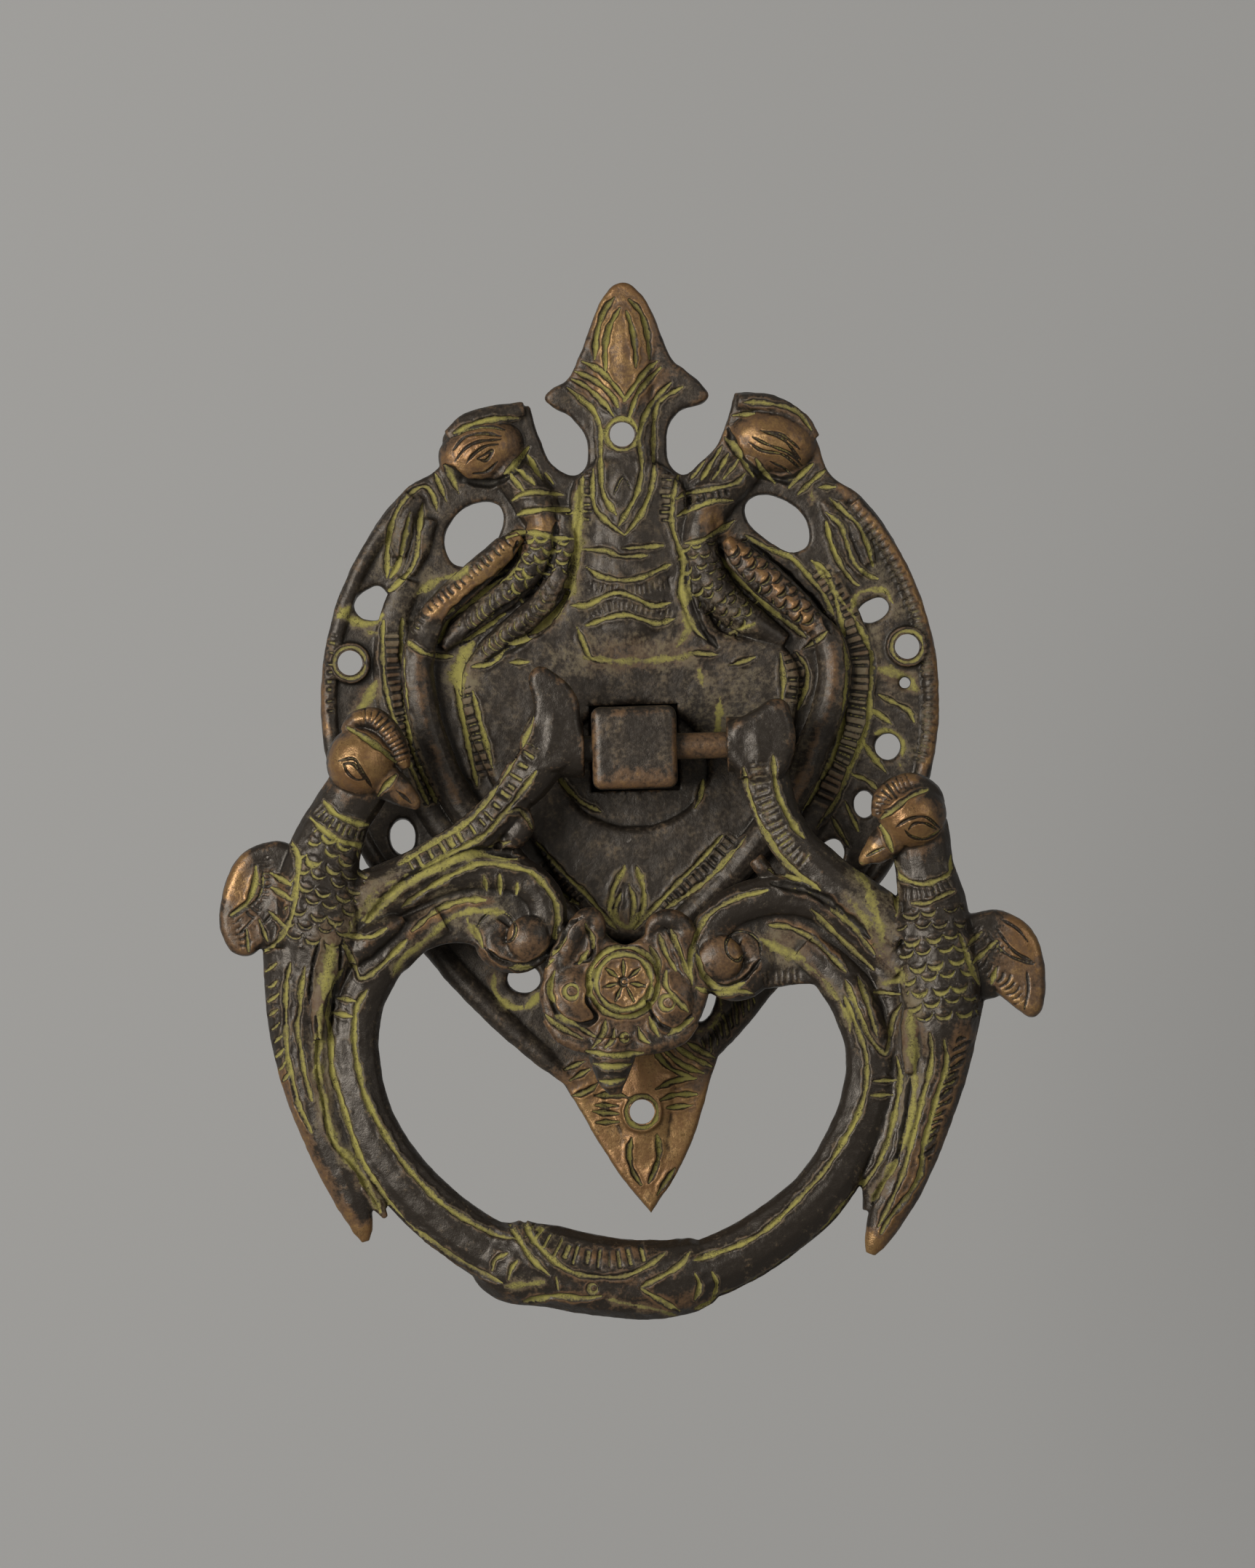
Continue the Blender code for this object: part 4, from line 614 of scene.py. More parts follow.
RING_RIBS = [
    (1.4, 1.05, 0.4, 0, [(53.25, -35.25), (55.25, -37), (57.5, -38.75), (59.5, -41.75)]),
    (1.05, 0.9, 0.3, 0.2, [(52.5, -30), (54.75, -32), (57.25, -34)]),
    (1.15, 0.9, 0.3, 0.1, [(-58.75, -15.5), (-58.5, -18.5), (-59.25, -22), (-61.5, -25)]),
    (1.05, 0.9, 0.3, 0, [(-63.75, -25), (-62.75, -27), (-61.75, -29.5)]),
    (1.4, 0.8, 0, 0, [(-42.75, 6.25), (-40.75, 6), (-38.75, 4), (-37, 1), (-36.25, -1)]),
    (1.6, 0.8, 0, 0, [(38.5, -11.5), (39, -9), (40.75, -7.5), (43, -6.5)]),
    (1.05, 1.05, 0, 0.35, [(-50, -8.25), (-48.25, -10.25), (-45.5, -11.75), (-42.5, -12.75)]),
    (1.25, 0.9, 0, 0.35, [(41.75, -24.25), (44, -24.25), (47.25, -23.5), (49.25, -22.5)]),
]
RING_SCALES = [
    (5.5, 3.1, 1.95, 0.75, [(-45.5, -13.5), (-48.25, -18.25), (-50.25, -24), (-51.75, -30.25)]),
    (5.5, 3.2, 2.05, 0.75, [(45.5, -26.25), (46, -32.5), (46.75, -38.25), (47.5, -44.5)]),
]
RING_POOLS = [
    (1.5, 0.6, [(-20.25, -17.25), (-25.75, -16.25), (-31, -18), (-36, -20.5), (-41, -24.5),
     (-42.75, -26.25)]),
    (1.7, 0.6, [(-39, -34.75), (-37.25, -32), (-33, -28.75), (-29.75, -26), (-26, -25),
     (-21.25, -25.25)]),
    (3.45, 0.85, [(-48.25, -29.5), (-49, -33.25), (-50, -38)]),
    (1.95, 0.75, [(-50.25, -38.75), (-51, -44.75), (-51.25, -49.25), (-50.5, -53.5), (-49.75, -57.75),
     (-48.75, -61), (-46.5, -63.75), (-44.25, -67.5), (-42, -71.75)]),
    (3.2, 0.75, [(19, -30.75), (21.75, -32.25), (25.75, -34)]),
    (1.5, 0.6, [(25.5, -34.5), (28, -36.75), (30.25, -39.75), (32.25, -43.25), (32.5, -46)]),
    (3.2, 0.45, [(37.25, -27.25), (38, -30.5), (37.5, -34)]),
    (3, 0.6, [(39.75, -35.75), (41, -37.5), (37.75, -38.25)]),
    (3.45, 0.8, [(42, -43), (42.25, -46.75), (42.5, -51.75)]),
    (1.5, 0.75, [(42.5, -52), (42.25, -56.25), (41.25, -61.25), (39.75, -65)]),
    (2.05, 0.75, [(39, -66), (37.25, -69.25), (35.25, -72.25)]),
    (1.6, 0.6, [(-22.75, -84), (-19.25, -83.75), (-16.5, -83.5)]),
    (1.25, 0.6, [(-7.25, -86.25), (-2.75, -87.5), (1.25, -88.5), (4, -89.5)]),
    (0.9, 0.6, [(-18, -75.25), (-16.5, -75.25)]),
    (1.6, 0.6, [(-25.75, -29.25), (-27.25, -26)]),
    (3, 0.75, [(-36.75, -20.25), (-40.5, -23), (-43.5, -26)]),
    (1.15, 0.6, [(-19.5, -39.25), (-20.25, -37.5)]),
    (5.3, 0.22, [(31.25, -16), (34.75, -20.25), (36.75, -25.5), (38, -31.25), (39, -36.25)]),
    (4.6, 0.24, [(32.25, -24), (35.5, -28.25), (37.25, -33.5)]),
    (4.6, 0.25, [(-36.25, -18.75), (-41, -21.5), (-44.5, -25.5), (-46.25, -28.75)]),
    (1.85, 0.5, [(40, -18.5), (40.25, -23.25), (40.5, -27.75)]),
]
RING_WORN_LINES = [
    (1.85, 0.6, [(-36, -28.5), (-32, -25.5), (-27.25, -24), (-23.5, -23.5)]),
    (1.85, 0.5, [(20.25, -27.5), (24.25, -28.25), (28, -30.75), (30.75, -33.75)]),
    (2.05, 0.5, [(30, -25.25), (33.75, -28.5), (36.5, -32.25)]),
    (2.75, 0.68, [(-57, -50), (-55.5, -55.75), (-52.5, -62.75), (-48.75, -69.75), (-44.25, -77)]),
    (3.9, 0.62, [(50.5, -46.5), (48.25, -53.25), (46, -60), (43.25, -66.25), (39, -74.25),
     (34.75, -80.5)]),
    (2.3, 0.7, [(-42.75, 6.25), (-40.75, 6), (-38.75, 4), (-37, 1), (-36.25, -1)]),
    (2.75, 0.7, [(38.5, -11.5), (39, -9), (40.75, -7.5), (43, -6.5)]),
]
RING_WORN = [
    (-43.25, -1.25, 5.5, 5, 0, 1.15), (-36.5, -6, 2.5, 1.5, -30, 0.65),
    (-62.75, -19.5, 2.5, 4.75, 0, 0.9), (-62.25, -26.5, 3, 3.5, 0, 0.65), (-57.5, -22, 3, 5.75, 0, 0.35),
    (43, -13.25, 4.75, 4.5, 0, 1.1), (37, -17.5, 3, 2.25, 0, 0.65), (60, -32, 3.25, 4.25, 30, 1),
    (59.5, -38, 4, 5.5, 0, 0.72), (-2.75, -37, 4.25, 4.25, 0, 0.95), (-11, -38.75, 4, 4.25, 0, 0.5),
    (4, -41, 3.75, 4.25, 0, 0.5), (-2.75, -38, 13.25, 9.25, 0, 0.52), (-20, -30.5, 5.25, 3.75, 0, 0.45),
    (14, -33, 4.75, 4.75, 0, 0.55), (-6.5, -79.25, 7, 1.25, 0, 0.4), (-8.5, -85.25, 15, 3.25, 0, 0.3),
    (1.25, -87.25, 7, 1.5, 0, 0.45), (-44.5, -75.75, 1.5, 3, -20, 1), (35, -79.5, 1.75, 2.75, 20, 1.15),
]
RING_DUST = [
    (-28.5, -24.5, 7, 3.5, 0, 0.5), (23.5, -31.75, 5.75, 3, 0, 0.7), (42, -46.25, 2.25, 7, 0, 1),
    (41.25, -57.5, 1.5, 7, 5, 0.8), (-49, -31, 2.5, 4.5, 0, 1), (-50.75, -40, 1.75, 7, 0, 0.9),
    (-50.25, -52.5, 1.5, 7, -5, 0.8),
]


def spot(across, up, out=0.0):
    """A place in Blender's units from millimetres across, up and out from the door."""
    return Vector((across, -out, up)) * MM


def sharp(across, up):
    """An outline point where the edge turns sharply."""
    return (across, up, "corner")


def arc(across, up, radius, start, stop, count):
    """Points on a round stretch of an outline, from one angle to another in degrees."""
    points = []
    for step in range(count):
        angle = math.radians(start + (stop - start) * step / (count - 1))
        points.append((across + radius * math.cos(angle), up + radius * math.sin(angle)))
    return points


def oval(across, up, wide, tall, tilt=0.0, count=8):
    """A closed oval outline from its half sizes, tilted in degrees."""
    turn = math.radians(tilt)
    points = []
    for step in range(count):
        angle = 2 * math.pi * step / count
        side, rise = wide * math.cos(angle), tall * math.sin(angle)
        points.append((across + side * math.cos(turn) - rise * math.sin(turn),
                       up + side * math.sin(turn) + rise * math.cos(turn)))
    return points


def mesh_of(curve, matrix):
    """The closed mesh of a curve, in the frame that matrix gives."""
    holder = bpy.data.objects.new("outline", curve)
    bpy.context.scene.collection.objects.link(holder)
    depsgraph = bpy.context.evaluated_depsgraph_get()
    mesh = bpy.data.meshes.new_from_object(holder.evaluated_get(depsgraph))
    bpy.data.objects.remove(holder)
    bpy.data.curves.remove(curve)
    shape = bmesh.new()
    shape.from_mesh(mesh)
    bpy.data.meshes.remove(mesh)
    bmesh.ops.remove_doubles(shape, verts=shape.verts, dist=0.01 * MM)
    bmesh.ops.recalc_face_normals(shape, faces=shape.faces)
    bmesh.ops.transform(shape, matrix=matrix, verts=shape.verts)
    return shape


def slab(outline, back, front, holes=(), rounding=0.8):
    """A flat shape between two depths, from smooth closed outlines."""
    curve = bpy.data.curves.new("slab", "CURVE")
    curve.dimensions = "2D"
    curve.fill_mode = "BOTH"
    curve.resolution_u = 8
    curve.bevel_depth = rounding * MM
    curve.bevel_resolution = 3
    curve.offset = -rounding * MM
    curve.extrude = ((front - back) / 2 - rounding) * MM
    for loop in (outline, *holes):
        spline = curve.splines.new("BEZIER")
        spline.bezier_points.add(len(loop) - 1)
        spline.use_cyclic_u = True
        for knot, point in zip(spline.bezier_points, loop):
            kind = "VECTOR" if len(point) == 3 else "AUTO"
            knot.co = Vector((point[0], point[1], 0)) * MM
            knot.handle_left_type = kind
            knot.handle_right_type = kind
    upright = Matrix.Translation(spot(0, 0, (back + front) / 2)) @ Matrix.Rotation(math.pi / 2, 4, "X")
    return mesh_of(curve, upright)


def cord(path, out=0.0, squeeze=1.0):
    """A round cord through (across, up, radius) points, squeezed front to back, set out from the door."""
    curve = bpy.data.curves.new("cord", "CURVE")
    curve.dimensions = "3D"
    curve.bevel_depth = MM
    curve.bevel_resolution = 5
    curve.use_fill_caps = True
    curve.resolution_u = 10
    spline = curve.splines.new("BEZIER")
    spline.bezier_points.add(len(path) - 1)
    for knot, (across, up, radius) in zip(spline.bezier_points, path):
        knot.co = spot(across, up)
        knot.radius = radius
        knot.handle_left_type = "AUTO"
        knot.handle_right_type = "AUTO"
    return mesh_of(curve, Matrix.Translation(spot(0, 0, out)) @ Matrix.Diagonal((1, squeeze, 1, 1)))


def lump(across, up, out, wide, tall, deep, tilt=0.0):
    """An egg-shaped lump from its half sizes, tilted in the plane of the door."""
    shape = bmesh.new()
    bmesh.ops.create_uvsphere(shape, u_segments=40, v_segments=24, radius=MM)
    turn = Matrix.Rotation(math.radians(-tilt), 4, "Y")
    matrix = Matrix.Translation(spot(across, up, out)) @ turn @ Matrix.Diagonal((wide, deep, tall, 1))
    bmesh.ops.transform(shape, matrix=matrix, verts=shape.verts)
    return shape


def barrel(left, right, radius, up=0.0, out=0.0):
    """A round bar that runs across, from its left end to its right end."""
    shape = bmesh.new()
    bmesh.ops.create_cone(shape, cap_ends=True, segments=48, radius1=radius * MM, radius2=radius * MM,
                          depth=(right - left) * MM)
    matrix = Matrix.Translation(spot((left + right) / 2, up, out)) @ Matrix.Rotation(math.pi / 2, 4, "Y")
    bmesh.ops.transform(shape, matrix=matrix, verts=shape.verts)
    return shape


def block(left, right, low, high, back, front):
    """A plain block between the given places."""
    shape = bmesh.new()
    bmesh.ops.create_cube(shape, size=MM)
    middle = spot((left + right) / 2, (low + high) / 2, (back + front) / 2)
    matrix = Matrix.Translation(middle) @ Matrix.Diagonal((right - left, front - back, high - low, 1))
    bmesh.ops.transform(shape, matrix=matrix, verts=shape.verts)
    return shape


def drill(across, up, diameter, back, front):
    """A round bar that runs out from the door, for a hole or a collar."""
    shape = bmesh.new()
    bmesh.ops.create_cone(shape, cap_ends=True, segments=40, radius1=diameter / 2 * MM,
                          radius2=diameter / 2 * MM, depth=(front - back) * MM)
    matrix = Matrix.Translation(spot(across, up, (back + front) / 2)) @ Matrix.Rotation(math.pi / 2, 4, "X")
    bmesh.ops.transform(shape, matrix=matrix, verts=shape.verts)
    return shape


def solid(name, shape):
    """An object from a finished shape."""
    mesh = bpy.data.meshes.new(name)
    shape.to_mesh(mesh)
    shape.free()
    thing = bpy.data.objects.new(name, mesh)
    bpy.context.scene.collection.objects.link(thing)
    return thing


def settle(thing):
    """Apply an object's modifiers to its mesh."""
    finished = thing.evaluated_get(bpy.context.evaluated_depsgraph_get())
    mesh = bpy.data.meshes.new_from_object(finished)
    old = thing.data
    thing.modifiers.clear()
    thing.data = mesh
    bpy.data.meshes.remove(old)


def roughen(thing, size, depth):
    """Give an object the uneven skin of hand-worked wax, with bumps of the given size and depth."""
    bumps = bpy.data.textures.new("wax", "CLOUDS")
    bumps.noise_scale = size * MM
    bumps.noise_depth = 2
    uneven = thing.modifiers.new("uneven", "DISPLACE")
    uneven.texture = bumps
    uneven.texture_coords = "LOCAL"
    uneven.strength = depth * MM
    uneven.mid_level = 0.5


def casting(name, shapes, cutters, grain, softness, wax=0.0):
    """One fine skin over overlapping shapes, softened like worn wax, with the cutters taken away."""
    joined = bmesh.new()
    for shape in shapes:
        mesh = bpy.data.meshes.new("lump")
        shape.to_mesh(mesh)
        shape.free()
        joined.from_mesh(mesh)
        bpy.data.meshes.remove(mesh)
    thing = solid(name, joined)
    skin = thing.modifiers.new("skin", "REMESH")
    skin.mode = "VOXEL"
    skin.voxel_size = grain * MM
    soften = thing.modifiers.new("soften", "SMOOTH")
    soften.factor = 0.5
    soften.iterations = softness
    if wax:
        roughen(thing, WAX_BUMPS, wax)
        roughen(thing, WAX_GRAINS, wax * 0.4)
    settle(thing)
    for shape in cutters:
        helper = solid("cutter", shape)
        cut = thing.modifiers.new("cut", "BOOLEAN")
        cut.operation = "DIFFERENCE"
        cut.solver = "MANIFOLD"
        cut.object = helper
        settle(thing)
        bpy.data.objects.remove(helper)
    return thing


def smooth_step(low, high, value):
    """A soft step from 0 below low to 1 above high."""
    share = np.clip((value - low) / (high - low), 0.0, 1.0)
    return share * share * (3 - 2 * share)


def smooth_line(points, step=0.4):
    """Close-set points on a smooth curve through the given points."""
    knots = np.array([point[:2] for point in points], float)
    if len(knots) == 2:
        count = max(2, int(np.linalg.norm(knots[1] - knots[0]) / step) + 1)
        return knots[0] + (knots[1] - knots[0]) * np.linspace(0, 1, count)[:, None]
    padded = np.vstack([2 * knots[0] - knots[1], knots, 2 * knots[-1] - knots[-2]])
    pieces = []
    for number in range(1, len(padded) - 2):
        before, start, stop, after = padded[number - 1:number + 3]
        count = max(2, int(np.linalg.norm(stop - start) / step) + 1)
        share = np.linspace(0, 1, count, endpoint=False)[:, None]
        pieces.append(start + 0.5 * share * (stop - before + share * (
            2 * before - 5 * start + 4 * stop - after + share * (3 * (start - stop) + after - before))))
    pieces.append(knots[-1:])
    return np.vstack(pieces)


class Marks:
    """The marks worked into a casting's front, as heights in millimetres and shares of each finish."""

    def __init__(self, thing):
        mesh = thing.data
        count = len(mesh.vertices)
        self.places = np.empty(count * 3)
        mesh.vertices.foreach_get("co", self.places)
        self.places = self.places.reshape(-1, 3) / MM
        self.normals = np.empty(count * 3)
        mesh.vertex_normals.foreach_get("vector", self.normals)
        self.normals = self.normals.reshape(-1, 3)
        self.across, self.up = self.places[:, 0], self.places[:, 2]
        self.front = smooth_step(0.05, 0.45, -self.normals[:, 1])
        facing = np.flatnonzero(self.front > 0)
        self.order = facing[np.argsort(self.across[facing])]
        self.sorted_across = self.across[self.order]
        self.cut = np.zeros(count)
        self.raised = np.zeros(count)
        self.groove = np.zeros(count)
        self.verdigris = np.zeros(count)
        self.dust = np.zeros(count)

    def near(self, line, reach):
        """The points that lie within reach of a stretch of line, at most."""
        low, high = line.min(axis=0) - reach, line.max(axis=0) + reach
        first, last = np.searchsorted(self.sorted_across, (low[0], high[0]))
        chosen = self.order[first:last]
        up = self.up[chosen]
        return chosen[(up > low[1]) & (up < high[1])]

    def along(self, points, reach, stretch=30):
        """For each short stretch of a line: the points near it, their distance aside and along it."""
        line = smooth_line(points)
        steps = np.linalg.norm(np.diff(line, axis=0), axis=1)
        run = np.concatenate([[0], np.cumsum(steps)])
        for first in range(0, len(line) - 1, stretch):
            part = line[first:first + stretch + 1]
            chosen = self.near(part, reach)
            if not len(chosen):
                continue
            place = np.stack([self.across[chosen], self.up[chosen]], axis=1)
            start, way = part[:-1], np.diff(part, axis=0)
            length = np.maximum(np.linalg.norm(way, axis=1), 1e-9)
            way = way / length[:, None]
            gap = place[:, None, :] - start[None]
            ahead = np.clip((gap * way).sum(axis=2), 0, length)
            away = np.linalg.norm(gap - ahead[:, :, None] * way, axis=2)
            best = away.argmin(axis=1)
            rows = np.arange(len(chosen))
            side = np.sign(gap[rows, best, 0] * way[best, 1] - gap[rows, best, 1] * way[best, 0])
            yield chosen, away[rows, best] * side, run[first + best] + ahead[rows, best], run[-1]

    def note(self, chosen, away, verdigris, groove_shade_and_grime=1.0):
        """Note how close points are to a mark's middle, with away 0 in the middle and 1 at its edge."""
        close = np.clip(1 - EDGE_FADE * away, 0, 1)
        # The groove share sets where the material paints the cut lines near-black: partly grime in them,
        # partly painted shade
        self.groove[chosen] = np.maximum(self.groove[chosen], close * groove_shade_and_grime)
        self.verdigris[chosen] = np.maximum(self.verdigris[chosen], close - (1 - verdigris) * FILL_SPAN)

    def line(self, points, width, depth, verdigris=1.0, lip=0.35):
        """A groove with rounded lips, filled with verdigris."""
        hand = points[0][0] * 1.7 + points[0][1] * 2.3
        for chosen, aside, run, whole in self.along(points, width * 1.5):
            waver = 0.9 + 0.18 * np.sin(run * 1.1 + hand) + 0.1 * np.sin(run * 2.7 + 2 * hand)
            fade = smooth_step(-0.2, 1.6, np.minimum(run, whole - run))
            away = np.abs(aside) / (width / 2 * waver * (0.4 + 0.6 * fade))
            fade = 0.5 + 0.5 * fade
            self.cut[chosen] = np.maximum(self.cut[chosen], depth * smooth_step(1.2, 0.3, away) * fade)
            lips = lip * depth * np.exp(-((away - 1.7) / 0.55) ** 2) * fade
            self.raised[chosen] = np.maximum(self.raised[chosen], lips)
            self.note(chosen, away, verdigris)

    def ladder(self, points, half, pitch, depth, slant=0.0, verdigris=0.8, thickness=0.35, bow=0.0,
               tan=0.0, groove_shade_and_grime=1.0):
        """Short cross grooves side by side along a line, slanted or bowed, on a band that may be dusty."""
        gap = pitch * thickness * 0.65
        for chosen, aside, run, whole in self.along(points, half + 1.0, UNBROKEN):
            phase = (run + aside * slant + bow * aside * aside / half) / pitch
            phase += 0.12 * np.sin(run * 0.9) + 0.08 * np.sin(run * 2.3)
            gap_here = gap * (0.85 + 0.3 * np.sin(np.round(phase) * 5.3))
            away = np.abs(phase - np.round(phase)) * pitch / gap_here
            edge = half * (0.85 + 0.15 * np.sin(np.round(phase) * 9.1))
            away = np.maximum(away, 1 + (np.abs(aside) - edge) / gap)
            inside = (run > 0.01) & (run < whole - 0.01)
            away[~inside] = OUTSIDE
            self.cut[chosen] = np.maximum(self.cut[chosen], depth * smooth_step(1.3, 0.4, away))
            band = tan * smooth_step(half + 0.4, half - 0.2, np.abs(aside)) * inside
            self.dust[chosen] = np.maximum(self.dust[chosen], band)
            self.note(chosen, away, verdigris, groove_shade_and_grime)

    def scales(self, points, half, pitch, row, depth, verdigris=0.75):
        """Staggered rows of domed scales along a line, each ending in a thin crescent cut."""
        for chosen, aside, run, whole in self.along(points, half + 0.5, UNBROKEN):
            away = np.full(len(chosen), OUTSIDE)
            dome = np.zeros(len(chosen))
            for shift in (-1, 0, 1):
                number = np.round(run / row) + shift
                offset = (number % 2) * 0.5
                column = np.round(aside / pitch - offset) + offset
                hand = np.sin(number * 12.9 + column * 7.3)
                ahead = run - row * (number + 0.12 * hand)
                side = aside - pitch * (column + 0.07 * np.cos(number * 7.7 + column * 3.1))
                reach, angle = np.hypot(ahead, side), np.abs(np.arctan2(side, ahead))
                thick = pitch * (0.1 + 0.03 * hand) * smooth_step(1.45, 0.3, angle) + 0.03
                crescent = np.abs(reach - pitch * 0.44) / thick
                away = np.where(angle < 1.45, np.minimum(away, crescent), away)
                dome = np.maximum(dome, np.where(angle < 1.3, 1 - (reach / (pitch * 0.5)) ** 2, 0))
            outside = (np.abs(aside) > half) | (run < 0.01) | (run > whole - 0.01)
            away[outside] = OUTSIDE
            dome[outside] = 0
            self.cut[chosen] = np.maximum(self.cut[chosen], depth * smooth_step(1.3, 0.3, away))
            self.raised[chosen] = np.maximum(self.raised[chosen], depth * 0.5 * np.clip(dome, 0, 1))
            self.note(chosen, away, verdigris)

    def pool(self, points, width, amount=1.0):
        """Verdigris that fills a broad hollow."""
        for chosen, aside, run, whole in self.along(points, width * 1.25):
            fade = smooth_step(-0.3, width, np.minimum(run, whole - run))
            half = width / 2 * (0.35 + 0.65 * fade) * (0.85 + 0.25 * np.sin(run * 1.3))
            close = 1 - EDGE_FADE * np.abs(aside) / half - (1 - amount) * FILL_SPAN
            self.verdigris[chosen] = np.maximum(self.verdigris[chosen], close)

    def patch(self, across, up, wide, tall, tilt, soft):
        """How far each point is inside a soft-edged oval, from 0 outside to 1."""
        turn = math.radians(tilt)
        side, rise = self.across - across, self.up - up
        sideways = (side * math.cos(turn) + rise * math.sin(turn)) / wide
        upwards = (rise * math.cos(turn) - side * math.sin(turn)) / tall
        return smooth_step(1.0 + soft * 0.5, 1.0 - soft * 0.5, np.hypot(sideways, upwards)) * self.front

    def ring(self, across, up, radius, width, depth, verdigris=1.0):
        """A round groove."""
        points = arc(across, up, radius, 0, 360, 13)
        self.line(points, width, depth, verdigris)

    def press(self, thing):
        """Push the marks into an object's mesh."""
        height = (self.raised - self.cut) * self.front
        places = (self.places + self.normals * height[:, None]) * MM
        thing.data.vertices.foreach_set("co", places.ravel())
        thing.data.update()


def relief(thing, rounds):
    """How far each point of a mesh stands proud of its neighbourhood, in millimetres."""
    mesh = thing.data
    count = len(mesh.vertices)
    places = np.empty(count * 3)
    mesh.vertices.foreach_get("co", places)
    places = places.reshape(-1, 3) / MM
    normals = np.empty(count * 3)
    mesh.vertex_normals.foreach_get("vector", normals)
    edges = np.empty(len(mesh.edges) * 2, np.int32)
    mesh.edges.foreach_get("vertices", edges)
    one, two = edges[0::2], edges[1::2]
    ends = np.concatenate([one, two])
    others = np.concatenate([two, one])
    shares = 1 / np.maximum(np.bincount(ends, minlength=count), 1)
    level = places.copy()
    for _ in range(rounds):
        for axis in range(3):
            level[:, axis] = np.bincount(ends, level[others, axis], count) * shares
    return ((places - level) * normals.reshape(-1, 3)).sum(axis=1)


def keep(thing, name, values):
    """Store one number for each point of a mesh."""
    layer = thing.data.attributes.new(name, "FLOAT", "POINT")
    layer.data.foreach_set("value", np.asarray(values, np.float32))


def thin(thing, triangles):
    """Thin a mesh to about so many triangles, most where it is plain."""
    thing.data.calc_loop_triangles()
    ratio = triangles / len(thing.data.loop_triangles)
    if ratio >= 1:
        return
    fewer = thing.modifiers.new("fewer", "DECIMATE")
    fewer.ratio = ratio
    fewer.use_collapse_triangulate = True
    settle(thing)


def screw_places():
    """The middles of the plate's screw holes: top, tail, left and right."""
    middle = RIM_CENTRE[0]
    return [(middle, SCREW_TOP), (middle, SCREW_TAIL), (middle - SCREW_REACH, SCREW_LEVEL),
            (middle + SCREW_REACH, SCREW_LEVEL)]


def plate_outline():
    """The plate's edge: spear finial, left side, spear tail, right side."""
    finial_left = [(0.3, 73.5), (-2.8, 71.3), (-4.5, 68), (-7, 61.8), (-8.8, 58.5), (-11.8, 56.6),
                   (-12.5, 55.6), (-11.8, 54.6), (-8.3, 52.3), (-6, 48)]
    head_left = [(-7.5, 43.5), (-11.5, 45), (-13.5, 49), sharp(-15, 54.5), (-25, 52.5), (-28.5, 50.5),
                 (-29, 46)]
    tail = [(-32.5, -30.5), (-21, -44), (-16, -48), (-12, -54), (-4.5, -67), sharp(0.5, -73.5),
            (5.5, -66), (8.5, -59), (10.5, -52.5), (13.5, -45.5), (20, -39)]
    head_right = [(32, 42.5), (30, 48), (26, 53), (20.5, 55.5), sharp(17.5, 55.5), (14.5, 47.5), (12, 45)]
    finial_right = [(8.5, 43), (6.5, 48.5), (8.5, 52.8), (12.4, 54.2), (13.3, 55.2), (12.9, 56.2),
                    (9.5, 59.7), (8, 60.8), (6.3, 64.5), (4.7, 68.8), (2.8, 72)]
    rim_left = arc(*RIM_CENTRE, RIM_RADIUS, *RIM_LEFT_ARC, count=7)
    rim_right = arc(*RIM_CENTRE, RIM_RADIUS, *RIM_RIGHT_ARC, count=7)
    return finial_left + head_left + rim_left + tail + rim_right + head_right + finial_right


def plate_openwork():
    """The openings through the plate, beside each bird, along the rim and in the V above the tail."""
    return [
        [(-29, 32.5), (-27.5, 37), (-23, 39.5), (-20, 38.5), (-20, 35), (-23.5, 30.5), (-27, 29.5)],
        [(18.5, 37), (20, 39), (24.5, 38.5), (28.5, 34), (27.5, 30.5), (21.5, 32.5)],
        [(-43.5, 23), (-41, 26.5), (-39, 26.5), (-38.5, 22)],
        [(36, 19.5), (38.5, 22.5), (40.5, 22), (40.5, 20)],
        oval(-41.5, -3, 2, 2.2), oval(-37, -13, 2, 2.8), oval(-31, -21.5, 1.8, 2.4, 40),
        oval(43, 9, 0.9, 0.9), oval(40, -1, 2, 2.1), oval(36, -10, 1.6, 2.2),
        oval(30.5, -18, 2, 2.8, -20), oval(-18.5, -36, 2.6, 2.2), oval(10, -40.5, 1.5, 3.2, -20),
    ]


def relief_bird(tilt, head, crest, neck, wing, body, inner):
    """One relief bird of the plate: its head, crest and neck, and the three rolls of its wing and body."""
    sunk = RIM_THICKNESS - SUNK
    return [
        lump(*head, out=sunk, wide=7, tall=4.8, deep=BIRD_HEIGHT - RIM_THICKNESS + 0.4, tilt=tilt),
        cord(crest, RIM_THICKNESS),
        cord(neck, sunk, squeeze=1.05),
        cord(body, RIM_THICKNESS + 0.4, squeeze=1.15),
        cord(inner, RIM_THICKNESS + 0.6, squeeze=1.2),
        cord(wing, BIRD_HEIGHT - 2.2),
    ]


